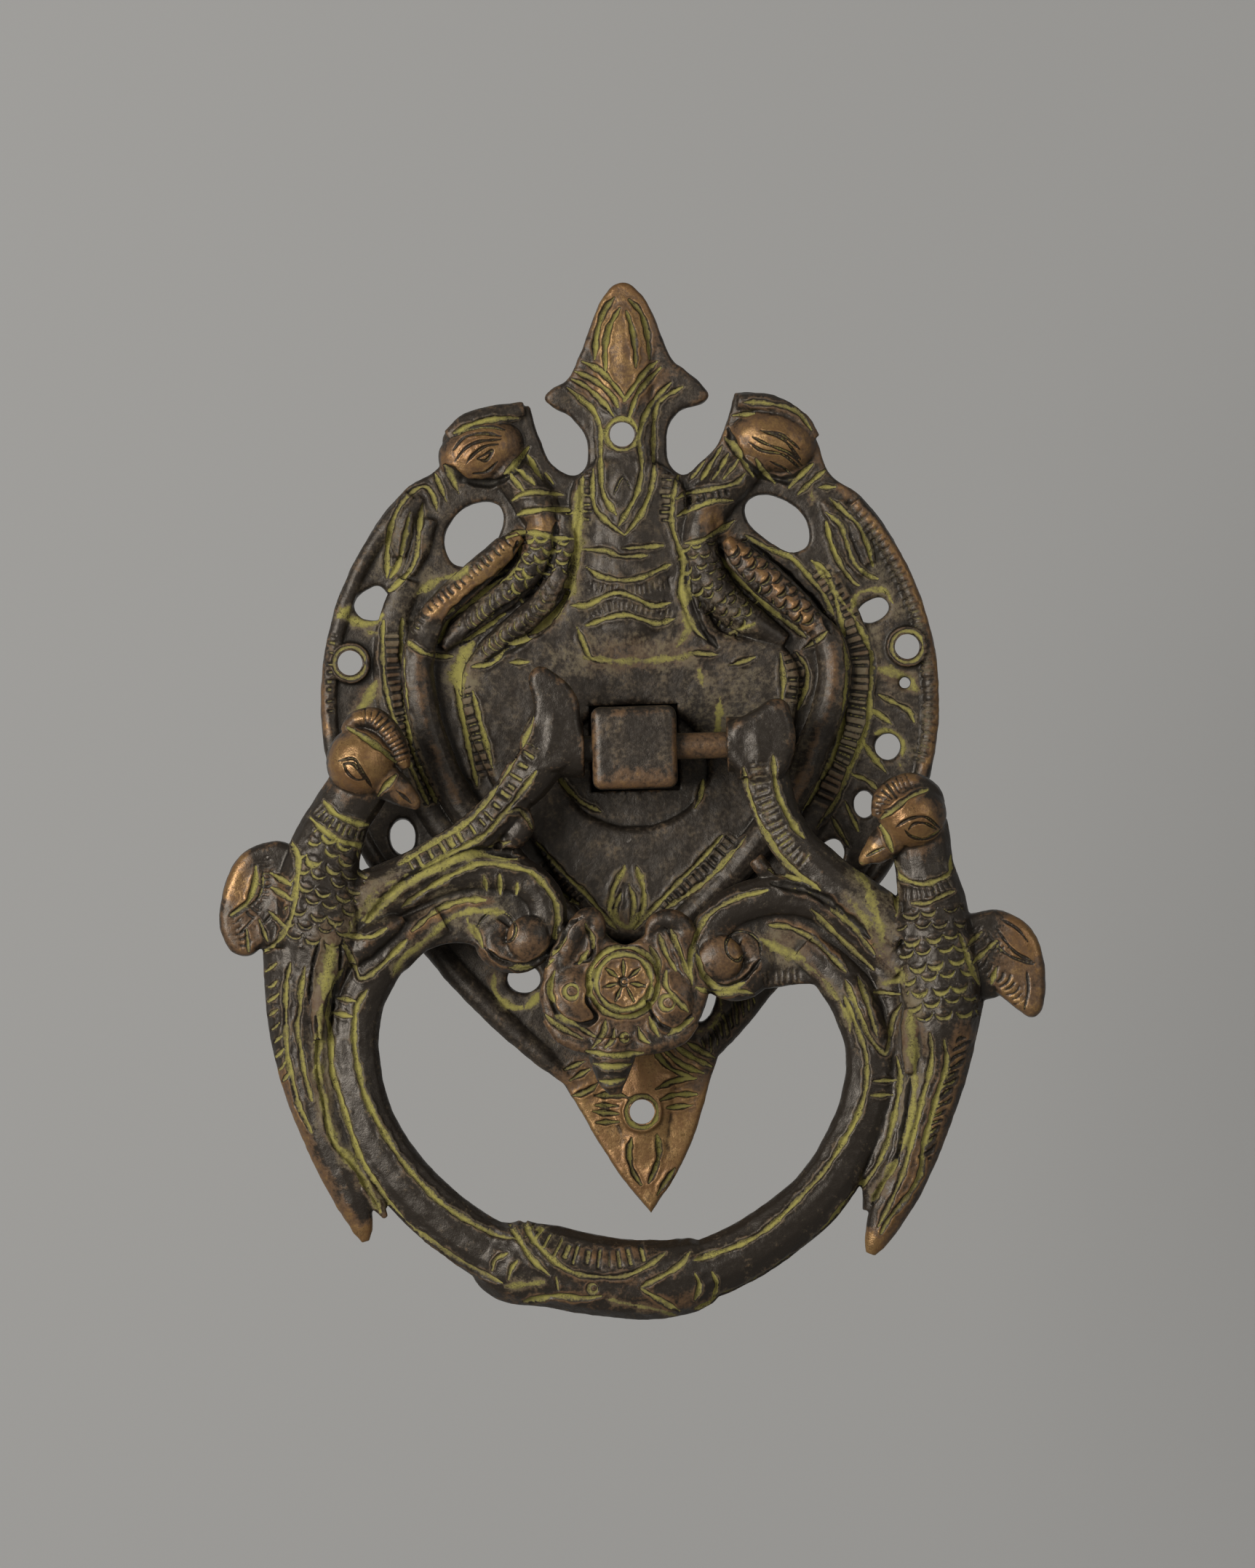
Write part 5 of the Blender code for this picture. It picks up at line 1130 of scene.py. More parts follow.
def relief_birds():
    """The two birds of the plate."""
    left = {
        "head": (-22.75, 47.5),
        "crest": [(-28, 50, 1), (-25, 52, 1.6), (-21, 53, 1.7), (-15.8, 54, 1.2)],
        "neck": [(-21, 46.5, 2.6), (-16.75, 42.5, 3.4), (-14.5, 39.25, 3.6), (-13, 35, 2.8)],
        "wing": [(-17, 34, 0.9), (-19.5, 32, 2.1), (-24.75, 27.5, 2.4), (-30, 23, 2.3), (-33.25, 19.5, 1.8),
                 (-34.75, 17, 0.9)],
        "body": [(-13.75, 39.25, 2.3), (-13.5, 34, 2.8), (-15, 30, 2.5), (-18, 26.25, 2.3),
                 (-22.75, 22.5, 2.1), (-27.25, 19, 1.6), (-29.75, 16.5, 0.7)],
        "inner": [(-10, 37.5, 1.2), (-10.25, 31.25, 2), (-12.5, 24.75, 2.1), (-17, 20.5, 2),
                  (-22.25, 16.75, 1.5), (-25.25, 13.75, 0.7)],
    }
    right = {
        "head": (23.25, 47.75),
        "crest": [(18, 54.3, 1.2), (23, 53.5, 1.7), (28, 50.5, 1.4), (30, 48, 0.8)],
        "neck": [(21.5, 45.5, 2.6), (16.5, 41.5, 3.4), (13.5, 38.5, 3.6), (12, 34, 2.8)],
        "wing": [(15.5, 32.5, 0.9), (17.25, 30, 2.3), (21.75, 25.75, 2.9), (26.75, 21, 2.5),
                 (29.5, 17.75, 1.7), (30.75, 15.5, 0.8)],
        "body": [(13, 38.5, 2.3), (11.25, 34, 2.8), (12, 28.25, 3), (14.5, 23.25, 3), (19.25, 19.25, 2.5),
                 (24.25, 16, 1.4)],
        "inner": [(9, 34, 0.7), (9.5, 27, 1.4), (10.5, 21.25, 1.6), (13.5, 16.75, 1.2), (16.25, 15, 0.5)],
    }
    return relief_bird(BIRD_TILT, **left) + relief_bird(-BIRD_TILT, **right)


def scaled(path, radius):
    """A cord's path from (across, up, share) points, each radius a share of the given one."""
    return [(across, up, radius * share) for across, up, share in path]


def even(path, radius):
    """A cord's path of one radius through (across, up) points."""
    return [(across, up, radius) for across, up in path]


def plate_shapes():
    """The lumps, slabs and cords that make up the back plate."""
    shapes = [slab(plate_outline(), -BEHIND, RIM_THICKNESS, plate_openwork())]
    for span in (RIM_LEFT_ARC, RIM_RIGHT_ARC):
        edge = arc(*RIM_CENTRE, RIM_RADIUS - RIM_CORD, *span, count=9)
        shapes.append(cord(even(edge, RIM_CORD), RIM_THICKNESS - BEDDED))
    for across, up in screw_places():
        shapes.append(drill(across, up, SCREW_COLLAR, 0, COLLAR_HEIGHT))
    field = [(-7, 43.5), (7.5, 43), (9, 28.5), (12.5, 19), (25, 14), (25.5, 4), (19, -12.5), (-1, -31),
             (-16, -15), (-24.5, -0.5), (-27, 10), (-25, 15.5), (-12.5, 20), (-8.5, 29)]
    hollow = oval(*HOLLOW_MIDDLE, wide=11.6, tall=9.6, count=12)
    floor = oval(*HOLLOW_MIDDLE, wide=12.6, tall=10.6, count=12)
    shapes.append(slab(field, 0, FIELD_HEIGHT, [hollow], rounding=1.2))
    shapes.append(slab(floor, 0, HOLLOW_FLOOR, rounding=0.5))
    column = [(-0.2, 50, 2), (-0.2, 45, 5), (0, 38, 6.8), (0.3, 27, 8), (0.3, 19, 7), (0.3, 13, 3)]
    shapes.append(cord(column, RIM_THICKNESS, squeeze=0.4))
    ridge_left = [(-31, 21, 0.6), (-33.5, 16, 1), (-33.5, 9, 1), (-31.5, 0.5, 1), (-28, -7.5, 1),
                  (-22.5, -14.5, 1), (-16, -22, 0.9), (-9, -29, 0.8), (-1.5, -35.5, 0.6)]
    ridge_right = [(28.5, 20, 0.6), (31.5, 15, 1), (31.5, 8, 1), (28.5, 0, 1), (25, -7.5, 1),
                   (19.5, -15, 1), (12.5, -22.5, 0.9), (5, -29.5, 0.8), (-1.5, -35.5, 0.6)]
    for ridge in (ridge_left, ridge_right):
        shapes.append(cord(scaled(ridge, RIDGE_RADIUS), RIDGE_HEIGHT - RIDGE_RADIUS))
    band_left = [(-35, 27.5), (-38, 19.5), (-37.5, 4.5), (-32.5, -8.5), (-25, -19)]
    band_right = [(31.5, 26), (35.5, 15), (35.5, 5), (32, -4), (26.5, -14)]
    for band in (band_left, band_right):
        shapes.append(cord(even(band, BAND_RADIUS), RIM_THICKNESS, squeeze=0.5))
    shapes += relief_birds()
    leaves = [
        [(-36.25, 31.25, 1.2), (-35.75, 34.75, 1.6), (-34.5, 38.25, 1.4), (-32.5, 40.5, 0.9)],
        [(-34.5, 28.5, 0.9), (-32.75, 32.25, 1.4), (-31, 37, 1.2)],
        [(30.75, 38, 0.7), (33, 34.5, 1.5), (34.5, 30.5, 1.5), (36.75, 26.25, 0.9)],
        [(33.75, 38, 0.9), (36.25, 33.25, 1.4), (38, 28, 1)],
    ]
    for leaf in leaves:
        shapes.append(cord(leaf, RIM_THICKNESS - BEDDED))
    sunk = RIM_THICKNESS - SUNK
    rise = TAIL_HEIGHT - RIM_THICKNESS + SUNK
    spear = [(0.5, 71, 2), (0.2, 66, 4), (0, 61, 5), (-0.3, 55, 5), (-0.3, 46, 5)]
    shapes.append(cord(spear, sunk, squeeze=rise / 5))
    tail = [(-1, -44, 6.5), (-0.6, -54, 6), (0, -62, 4), (0.5, -70, 1.6)]
    shapes.append(cord(tail, sunk, squeeze=rise / 6))
    arm_left = [(-40, -20, 1.2), (-32.5, -30.75, 1.9), (-22.25, -42.25, 2), (-16, -48.25, 1.7),
                (-11, -53, 0.9)]
    arm_right = [(34.75, -23.75, 1.2), (20, -37.75, 1.8), (13.5, -45, 1.9), (9.75, -49, 1.5),
                 (7.5, -52, 0.7)]
    for arm in (arm_left, arm_right):
        shapes.append(cord(arm, sunk))
    return shapes


def plate_cutters():
    """What is taken away from the plate: its flat back, the screw holes and the lug's seat."""
    far = 2 * RIM_RADIUS
    cutters = [block(-far, far, -far, far, -10 * BEHIND, 0)]
    for across, up in screw_places():
        cutters.append(drill(across, up, SCREW_HOLE, -BEHIND, RIDGE_HEIGHT + BEHIND))
    cutters.append(block(-LUG_HALF - FIT, LUG_HALF + FIT, -LUG_RISE - FIT, LUG_RISE + FIT, RIM_THICKNESS,
                         LUG_FRONT))
    return cutters


def ring_bird(head, crest, beak, neck, tail, wing):
    """One bird of the ring: head with crest and beak, neck and body, long tail and leaf-shaped wing."""
    return [
        lump(*head, HEAD_OUT, HEAD_RADIUS, HEAD_RADIUS, HEAD_RADIUS),
        cord(crest, CREST_OUT, squeeze=1.5),
        cord(beak, CREST_OUT),
        cord(neck, 1.2, RING_SQUEEZE),
        cord(tail, 0.4, squeeze=0.8),
        slab(wing, -WING_BACK, WING_FRONT, rounding=WING_ROUND),
    ]


def ring_birds():
    """The two birds of the ring."""
    left = {
        "head": (-43, -1),
        "crest": [(-45.5, 3.75, 0.8), (-43.5, 5.5, 1.6), (-40.75, 5.5, 2), (-38.25, 3, 2),
                  (-36.75, -0.25, 1.5), (-36, -2.25, 0.8)],
        "beak": [(-39.25, -4, 3), (-36.5, -6.25, 2.2), (-34.7, -8, 1), (-34.4, -8.6, 0.5)],
        "neck": [(-42.75, -1.5, 3), (-43.5, -4.75, 4.9), (-46.25, -9, 4.9), (-49.25, -15.5, 5.9),
                 (-50.25, -21.75, 7), (-50.5, -28.5, 6.8), (-52.25, -36.5, 5), (-53, -43, 3.2),
                 (-52.8, -48, 1.2)],
        "tail": [(-53.5, -30, 6), (-54, -41, 5), (-52.25, -52.5, 4.3), (-48.75, -63, 3.8), (-46.25, -70, 2.9),
                 (-44.9, -74.5, 1.7), (-44.5, -76.5, 0.7)],
        "wing": [(-55.5, -13.25), (-59.25, -13.5), (-62.5, -15.25), (-64.5, -18.5), (-65.75, -22.5),
                 (-66, -25.75), (-65.25, -28.5), (-63.75, -30.5), (-61.5, -31), (-59.5, -29.75),
                 (-55, -28.5), (-52.5, -21.5), (-52.75, -16)],
    }
    right = {
        "head": (43.25, -11.75),
        "crest": [(37.5, -12, 0.7), (38.5, -9.5, 1.6), (40.75, -7.75, 2), (44, -7.25, 2), (46.5, -8.5, 1.5),
                  (48, -10.25, 0.7)],
        "beak": [(40.25, -15, 3), (37.5, -17.25, 2.3), (35.5, -18.75, 1), (35, -19.5, 0.5)],
        "neck": [(43.75, -10.5, 3), (44.25, -13.5, 4.8), (45, -20, 4.7), (46, -25.5, 5.4), (46.5, -32.5, 6.4),
                 (47, -39.5, 6.5), (46.8, -46.5, 5.5), (45.8, -53, 3.6), (44.5, -58, 1.2)],
        "tail": [(48, -40.5, 6), (46.2, -50.75, 5.2), (43.5, -60, 4.5), (40.2, -69, 3.8), (37.2, -75.25, 2.9),
                 (35.4, -79.25, 1.7), (34.7, -80.75, 0.8)],
        "wing": [(50.5, -28.25), (53.25, -27.5), (56.5, -27.25), (59.75, -28.75), (62.25, -31.5),
                 (63.25, -34.75), (63.5, -38.25), (63.25, -41.25), (62.5, -43.5), (61.25, -44.25),
                 (59.5, -43.25), (57, -41.25), (54.5, -39.25), (52, -37.75), (49.25, -32.75)],
    }
    return ring_bird(**left) + ring_bird(**right)


def ring_shapes():
    """The lumps, slabs and cords that make up the ring, around the pin's axis."""
    hoop = [(-31, -26, 0.7), (-38.5, -30, 0.9), (-43.5, -36, 1), (-45.5, -42.5, 1), (-45.5, -49.5, 1),
            (-44, -56.5, 1), (-41, -63, 1.05), (-36, -69.5, 1.08), (-30, -75, 1.1), (-23.5, -79, 1.15),
            (-7.5, -82.5, 1.2), (5.5, -83, 1.15), (13.5, -80.5, 1.12), (21, -76, 1.08),
            (27.5, -70.5, 1.05), (32, -63.5, 1), (35, -56.5, 1), (36, -49.5, 1), (34.5, -43, 1),
            (31, -37, 0.9), (25.5, -32, 0.7)]
    pad = [(-25.5, -77, 4.2), (-23.8, -78.5, 6), (-21.5, -80, 6.8), (-15.25, -81.25, 6.6), (-7.5, -83, 6.4),
           (0.75, -83.75, 6.4), (5.5, -83.25, 6.1), (8, -82.5, 5.6), (10, -81.75, 4.4)]
    shapes = [
        cord(scaled(hoop, HOOP_RADIUS), 0, RING_SQUEEZE),
        cord(pad, 0, RING_SQUEEZE),
    ]
    fillet_left = [(-49, -33.5, 1), (-50, -41.5, 1), (-49, -50.5, 1), (-46.5, -59, 1), (-43.5, -66, 0.8),
                   (-42.5, -70, 0.4)]
    fillet_right = [(38, -35.5, 1), (39.5, -40, 1), (40, -46, 1), (40, -54.5, 1), (38, -62, 1),
                    (36, -69, 0.9), (34.8, -74, 0.45)]
    for fillet in (fillet_left, fillet_right):
        shapes.append(cord(scaled(fillet, FILLET_RADIUS)))
    left, right = INNER_LEFT, INNER_RIGHT
    hood_left = [(left - 7.4, 13), (left - 3.6, 11.6), (left - 1, 8.5), (left - 0.4, 5), (left - 0.5, 0),
                 (left - 2.5, -2.5), (left - 7.8, -3.2), (left - 10, 0.3), (left - 7.8, 6)]
    hood_right = [(right + 0.6, 3), (right + 4, 5), (right + 8.5, 7), (right + 10, 5), (right + 10, -3),
                  (right + 7, -6), (right + 0.8, -3.5)]
    roll_left = [(left - 5, 8.25, 2.6), (left - 4.6, 5, 4.2), (left - 5.3, 1, 4.1), (left - 7.5, -3, 3.7),
                 (left - 10.5, -6.5, 3.4)]
    roll_right = [(right + 9.4, 6.25, 0.7), (right + 8.4, 4.6, 2.2), (right + 7, 3.2, 3.4),
                  (right + 5, 1, 4.1), (right + 4.8, -1, 4.1), (right + 5, -5.25, 3.7)]
    shapes += [
        barrel(PIN_LEFT, left, KNUCKLE_RADIUS),
        barrel(right, PIN_RIGHT, KNUCKLE_RADIUS),
        slab(hood_left, back=1.5, front=KNUCKLE_RADIUS, rounding=1.2),
        slab(hood_right, back=-2.5, front=KNUCKLE_RADIUS, rounding=1.5),
        cord(roll_left, out=0.6),
        cord(roll_right, out=0.8),
    ]
    arm_left = [(left - 4.6, 4.5, 1.1), (-16, -2, 1), (-20.5, -8.5, 0.95), (-28.5, -15, 0.95),
                (-36.5, -19.5, 1.05), (-44.5, -23, 1.25)]
    arm_right = [(right + 5.3, 1.5, 1.1), (20.5, -5.5, 1.05), (24, -15, 1), (29, -20.5, 1.05),
                 (35, -25.5, 1.15), (41.5, -31, 1.25)]
    for arm in (arm_left, arm_right):
        shapes.append(cord(scaled(arm, ARM_RADIUS), out=0.3))
    scroll_left = [(-47, -28.5, 4.5), (-40, -23, 4), (-32, -19.5, 3.6), (-24, -18.5, 3.4),
                   (-17.5, -20.5, 3.2), (-14.5, -25.5, 3.2), (-16.5, -30.5, 3), (-21, -32, 2.9),
                   (-23.5, -29.5, 2.6), (-21.5, -27, 2.4)]
    scroll_right = [(41.5, -35.5, 4.5), (34.5, -28.5, 4), (26.5, -24.5, 3.6), (18.5, -24.5, 3.4),
                    (12.5, -27.5, 3.2), (10.5, -32, 3.2), (12.5, -36.5, 3), (16.5, -37, 3),
                    (18.5, -33.5, 2.7), (15.5, -32, 2.5)]
    web_left = [(-41, -25), (-27.5, -19.5), (-16, -21.5), (-15, -28.5), (-21, -33), (-27.5, -30),
                (-32.5, -30.5), (-39, -34)]
    web_right = [(12, -26.5), (25.5, -23.5), (37, -30), (33, -39.5), (26.5, -38), (19, -38.5),
                 (13, -38), (10, -33.5)]
    for scroll, web in ((scroll_left, web_left), (scroll_right, web_right)):
        shapes.append(cord(scroll, 0, RING_SQUEEZE))
        shapes.append(slab(web, back=-2.2, front=1.2))
    boss = [(-9, -26.5), (-2.5, -31), (4.5, -27.5), (9, -31.5), (9.3, -42.5), (2.5, -47.5),
            (-9.5, -47.5), (-15.5, -42), (-14.5, -33)]
    drop = [(-4.8, -45.5, 4.2), (-5, -49, 3.6), (-5, -52, 2.5), (-4.6, -54.5, 1)]
    shapes += [
        slab(boss, back=-2.6, front=3, rounding=1.2),
        slab(oval(*ROSETTE, ROSETTE_HALF, ROSETTE_HALF), back=0, front=4.2, rounding=0.6),
        cord(drop, out=0.8, squeeze=0.9),
    ]
    ear_left = [(-13, -35, 0.6), (-11.25, -31.25, 1.6), (-9.5, -27.75, 1.8), (-7.5, -26.5, 1.6),
                (-6.75, -29, 1.5), (-7.5, -31.75, 1.4), (-8.75, -33.5, 0.7)]
    ear_right = [(1.25, -30, 0.7), (2.5, -27.75, 1.5), (5.25, -27.25, 1.7), (7, -28.75, 1.6),
                 (6.5, -31.5, 1.6), (7.5, -35.5, 1.4), (8, -38.5, 0.7)]
    chin = [(-15.25, -42.25, 0.6), (-13, -45, 1.2), (-9.75, -46.5, 1.4), (-2.5, -47.25, 1.4),
            (5.75, -45.75, 1.3), (8.5, -43.5, 0.6)]
    for path, out in ((ear_left, 2.2), (ear_right, 2.2), (chin, 2)):
        shapes.append(cord(path, out))
    # Lumps: across, up, out, half sizes across, up and out, and tilt
    cheeks = [(-10.5, -39.25, 2, 3.9, 5.4, 2.5, 10), (4.75, -40.25, 2, 3.8, 5.4, 2.5, -10)]
    curls = [(-17.5, -29.5, 2.2, 3.4, 3.6, 2, 0), (12.5, -33.5, 2.2, 3.6, 3.6, 2, 0)]
    wing_roots = [(-56.5, -22.5, -0.3, 5, 7.4, 3.4, 0), (-56.5, -28, -0.3, 3.5, 3.5, 3, 0),
                  (53, -34.5, -0.3, 4.5, 7, 3.4, 20), (51.5, -39, -0.3, 3, 3.5, 3, 20)]
    for sizes in cheeks + curls + wing_roots:
        shapes.append(lump(*sizes))
    shapes += ring_birds()
    tail_spur = [(-44.5, -67.75, 1.6), (-42.5, -70.5, 1.2), (-41.25, -72.75, 0.5)]
    pod_left = [(-48.5, -29, 1), (-48.75, -31.5, 1.6), (-49.75, -35.5, 1.5), (-50.75, -39.5, 1.2),
                (-51, -44.5, 0.7)]
    leaf_left = [(-45.25, -32.75, 0.7), (-43.75, -30.5, 2.1), (-41.75, -28.5, 2.3), (-38.75, -26.75, 1.6),
                 (-37, -25.75, 0.6)]
    leaf_right = [(32.75, -37.25, 0.9), (34, -40, 1.8), (35.5, -43, 2.1), (37, -46, 1.4), (37.75, -48.5, 0.5)]
    pod_right = [(42, -42.25, 1), (42.25, -45, 1.8), (42, -48.5, 1.4), (41.75, -52.5, 0.8)]
    bud_left = [(-21.25, -15, 0.7), (-19.25, -13.5, 2.1), (-18, -11.5, 2.1), (-17.5, -9.25, 0.9)]
    bud_right = [(21.25, -21, 0.7), (19.75, -19.75, 1.4), (18.5, -18, 1.2)]
    for path, out in ((tail_spur, 1), (pod_left, 4.4), (leaf_left, 3), (leaf_right, 2.6), (pod_right, 3.4),
                      (bud_left, 0.5), (bud_right, 0.5)):
        shapes.append(cord(path, out))
    return shapes


def work(marks, depth, fill, valleys, groups, faces, ladders, ribs, scales, pools):
    """Work the listed marks into a casting's front."""
    # Valleys: cut deeper, with no verdigris, so they are painted near-black as shade
    for width, points in valleys:
        marks.line(points, width, depth * 1.8, verdigris=0.0, lip=0.2)
    for lines in groups:
        for points in lines:
            marks.line(points, GROOVE, depth, verdigris=fill)
    for points in faces:
        marks.line(points, GROOVE * 0.5, depth * 0.6, verdigris=0.3)
    for half, pitch, slant, tan, verdigris, points in ladders:
        # How strongly a ladder's grooves are painted near-black, as grime and painted shade in them
        groove_shade_and_grime = 1.0 if tan + verdigris > 0.4 else 0.55
        thickness = 0.5 if slant else 0.36
        marks.ladder(points, half, pitch, depth * groove_shade_and_grime, slant, verdigris, thickness, tan=tan, groove_shade_and_grime=groove_shade_and_grime)
    for half, pitch, bow, verdigris, points in ribs:
        marks.ladder(points, half, pitch, depth * 0.6, verdigris=verdigris, thickness=0.34, bow=bow,
                     groove_shade_and_grime=0.75)
    for half, pitch, row, verdigris, points in scales:
        marks.scales(points, half, pitch, row, depth * 0.9, verdigris)
    for width, amount, points in pools:
        marks.pool(points, width, amount)


def weather(thing, marks, worn, worn_lines, dust, edge_wear, dusty):
    """Store where a casting is worn bright (painted highlights on the plate's ridges among it), green and
    dusty, and where shade is painted into its hollows, from its marks and its relief.
    """
    fine, broad = relief(thing, rounds=8), relief(thing, rounds=70)
    bright = np.zeros(len(fine))
    for across, up, wide, tall, tilt, amount in worn:
        bright = np.maximum(bright, amount * marks.patch(across, up, wide, tall, tilt, soft=1.1))
    for width, amount, points in worn_lines:
        for chosen, aside, _, _ in marks.along(points, width):
            share = amount * smooth_step(width * 0.8, width * 0.1, np.abs(aside))
            bright[chosen] = np.maximum(bright[chosen], share)
    edge = smooth_step(0.02, 0.1, fine) * 0.4 + smooth_step(0.1, 0.8, broad) * 0.6
    # The worn share carries real wear and, on the plate's ridges, painted highlights
    keep(thing, "worn", np.clip(bright * (0.8 + 0.3 * edge) + edge * edge_wear, 0, 1))
    keep(thing, "verdigris", marks.verdigris * marks.front)
    keep(thing, "groove", marks.groove * marks.front)
    halo = 0.62 * smooth_step(0.05, 0.62, marks.verdigris)
    tan = np.maximum(marks.dust, halo) * marks.front
    for across, up, wide, tall, tilt, amount in dust:
        tan = np.maximum(tan, amount * marks.patch(across, up, wide, tall, tilt, soft=1.2))
    keep(thing, "dust", tan + dusty * marks.front)
    # Painted shade: points lower than their neighbourhood are marked to be painted near-black in the hollows
    keep(thing, "hollow", smooth_step(0.0, 0.08, -fine) * 0.5 + smooth_step(0.0, 0.4, -broad) * 0.7)


def mark_plate(marks, depth):
    """Work the plate's ornament."""
    grooves = (PLATE_FINIAL_LINES, PLATE_COLUMN_LINES, PLATE_LEFT_BIRD_LINES, PLATE_RIGHT_BIRD_LINES,
               PLATE_RIM_LINES, PLATE_BAND_LINES, PLATE_TAIL_LINES)
    work(marks, depth, PLATE_FILL, PLATE_VALLEYS, grooves, PLATE_FACE_LINES, PLATE_LADDERS, PLATE_RIBS,
         PLATE_SCALES, PLATE_POOLS)
    for across, up in screw_places():
        marks.ring(across, up, SCREW_HOLE / 2 + 0.5, width=0.7, depth=depth * 0.6)


def mark_ring(marks, depth):
    """Work the ring's ornament."""
    grooves = (RING_LEFT_BIRD_LINES, RING_RIGHT_BIRD_LINES, RING_ARM_LINES, RING_SCROLL_LINES,
               RING_HOOP_LINES, RING_TAIL_LINES, RING_PAD_LINES, RING_BOSS_LINES)
    work(marks, depth, RING_FILL, RING_VALLEYS, grooves, RING_FACE_LINES, RING_LADDERS, RING_RIBS,
         RING_SCALES, RING_POOLS)
    for radius in ROSETTE_RINGS:
        marks.ring(*ROSETTE, radius, GROOVE, depth)
    for across, up, radius in EYES:
        marks.ring(across, up, radius, width=0.7, depth=depth * 0.7)
    marks.ring(*ROSETTE, 0.6, width=0.5, depth=depth * 0.7, verdigris=0.2)
    across, up = ROSETTE
    for petal in range(PETALS):
        angle = math.radians(petal * 360 / PETALS + 90)
        ends = [(across + reach * math.cos(angle), up + reach * math.sin(angle)) for reach in PETAL_SPAN]
        marks.line(ends, GROOVE, depth, verdigris=0.6)


def node(tree, kind, values=(), **settings):
    """Add a shader node, with its settings and its input values or links by name or number."""
    new = tree.nodes.new(kind)
    for name, value in settings.items():
        setattr(new, name, value)
    for name, value in dict(values).items():
        socket = new.inputs[name]
        if isinstance(value, bpy.types.NodeSocket):
            tree.links.new(value, socket)
        elif socket.type == "RGBA":
            socket.default_value = (*value, 1)
        else:
            socket.default_value = value
    return new


def noise(tree, place, scale, detail):
    """A noise value that is even over the object, with so many bumps to the metre."""
    values = {"Vector": place, "Scale": scale, "Detail": detail, "Roughness": 0.6}
    return node(tree, "ShaderNodeTexNoise", values).outputs["Fac"]


def blend(tree, share, one, two):
    """A mix of two colours."""
    new = node(tree, "ShaderNodeMix", data_type="RGBA")
    for socket, value in ((new.inputs[0], share), (new.inputs[6], one), (new.inputs[7], two)):
        if isinstance(value, bpy.types.NodeSocket):
            tree.links.new(value, socket)
        elif socket.type == "RGBA":
            socket.default_value = (*value, 1)
        else:
            socket.default_value = value
    return new.outputs[2]


def step_of(tree, value, low, high, floor=0.0, top=1.0):
    """A soft step of a value from floor to top."""
    values = {"Value": value, "From Min": low, "From Max": high, "To Min": floor, "To Max": top}
    return node(tree, "ShaderNodeMapRange", values, interpolation_type="SMOOTHSTEP").outputs["Result"]


def total(tree, one, two, share=1.0):
    """One value plus a share of another."""
    return node(tree, "ShaderNodeMath", {0: two, 1: share, 2: one}, operation="MULTIPLY_ADD").outputs[0]


def attribute(tree, name):
    """A number stored on the mesh."""
    return node(tree, "ShaderNodeAttribute", attribute_name=name).outputs["Fac"]


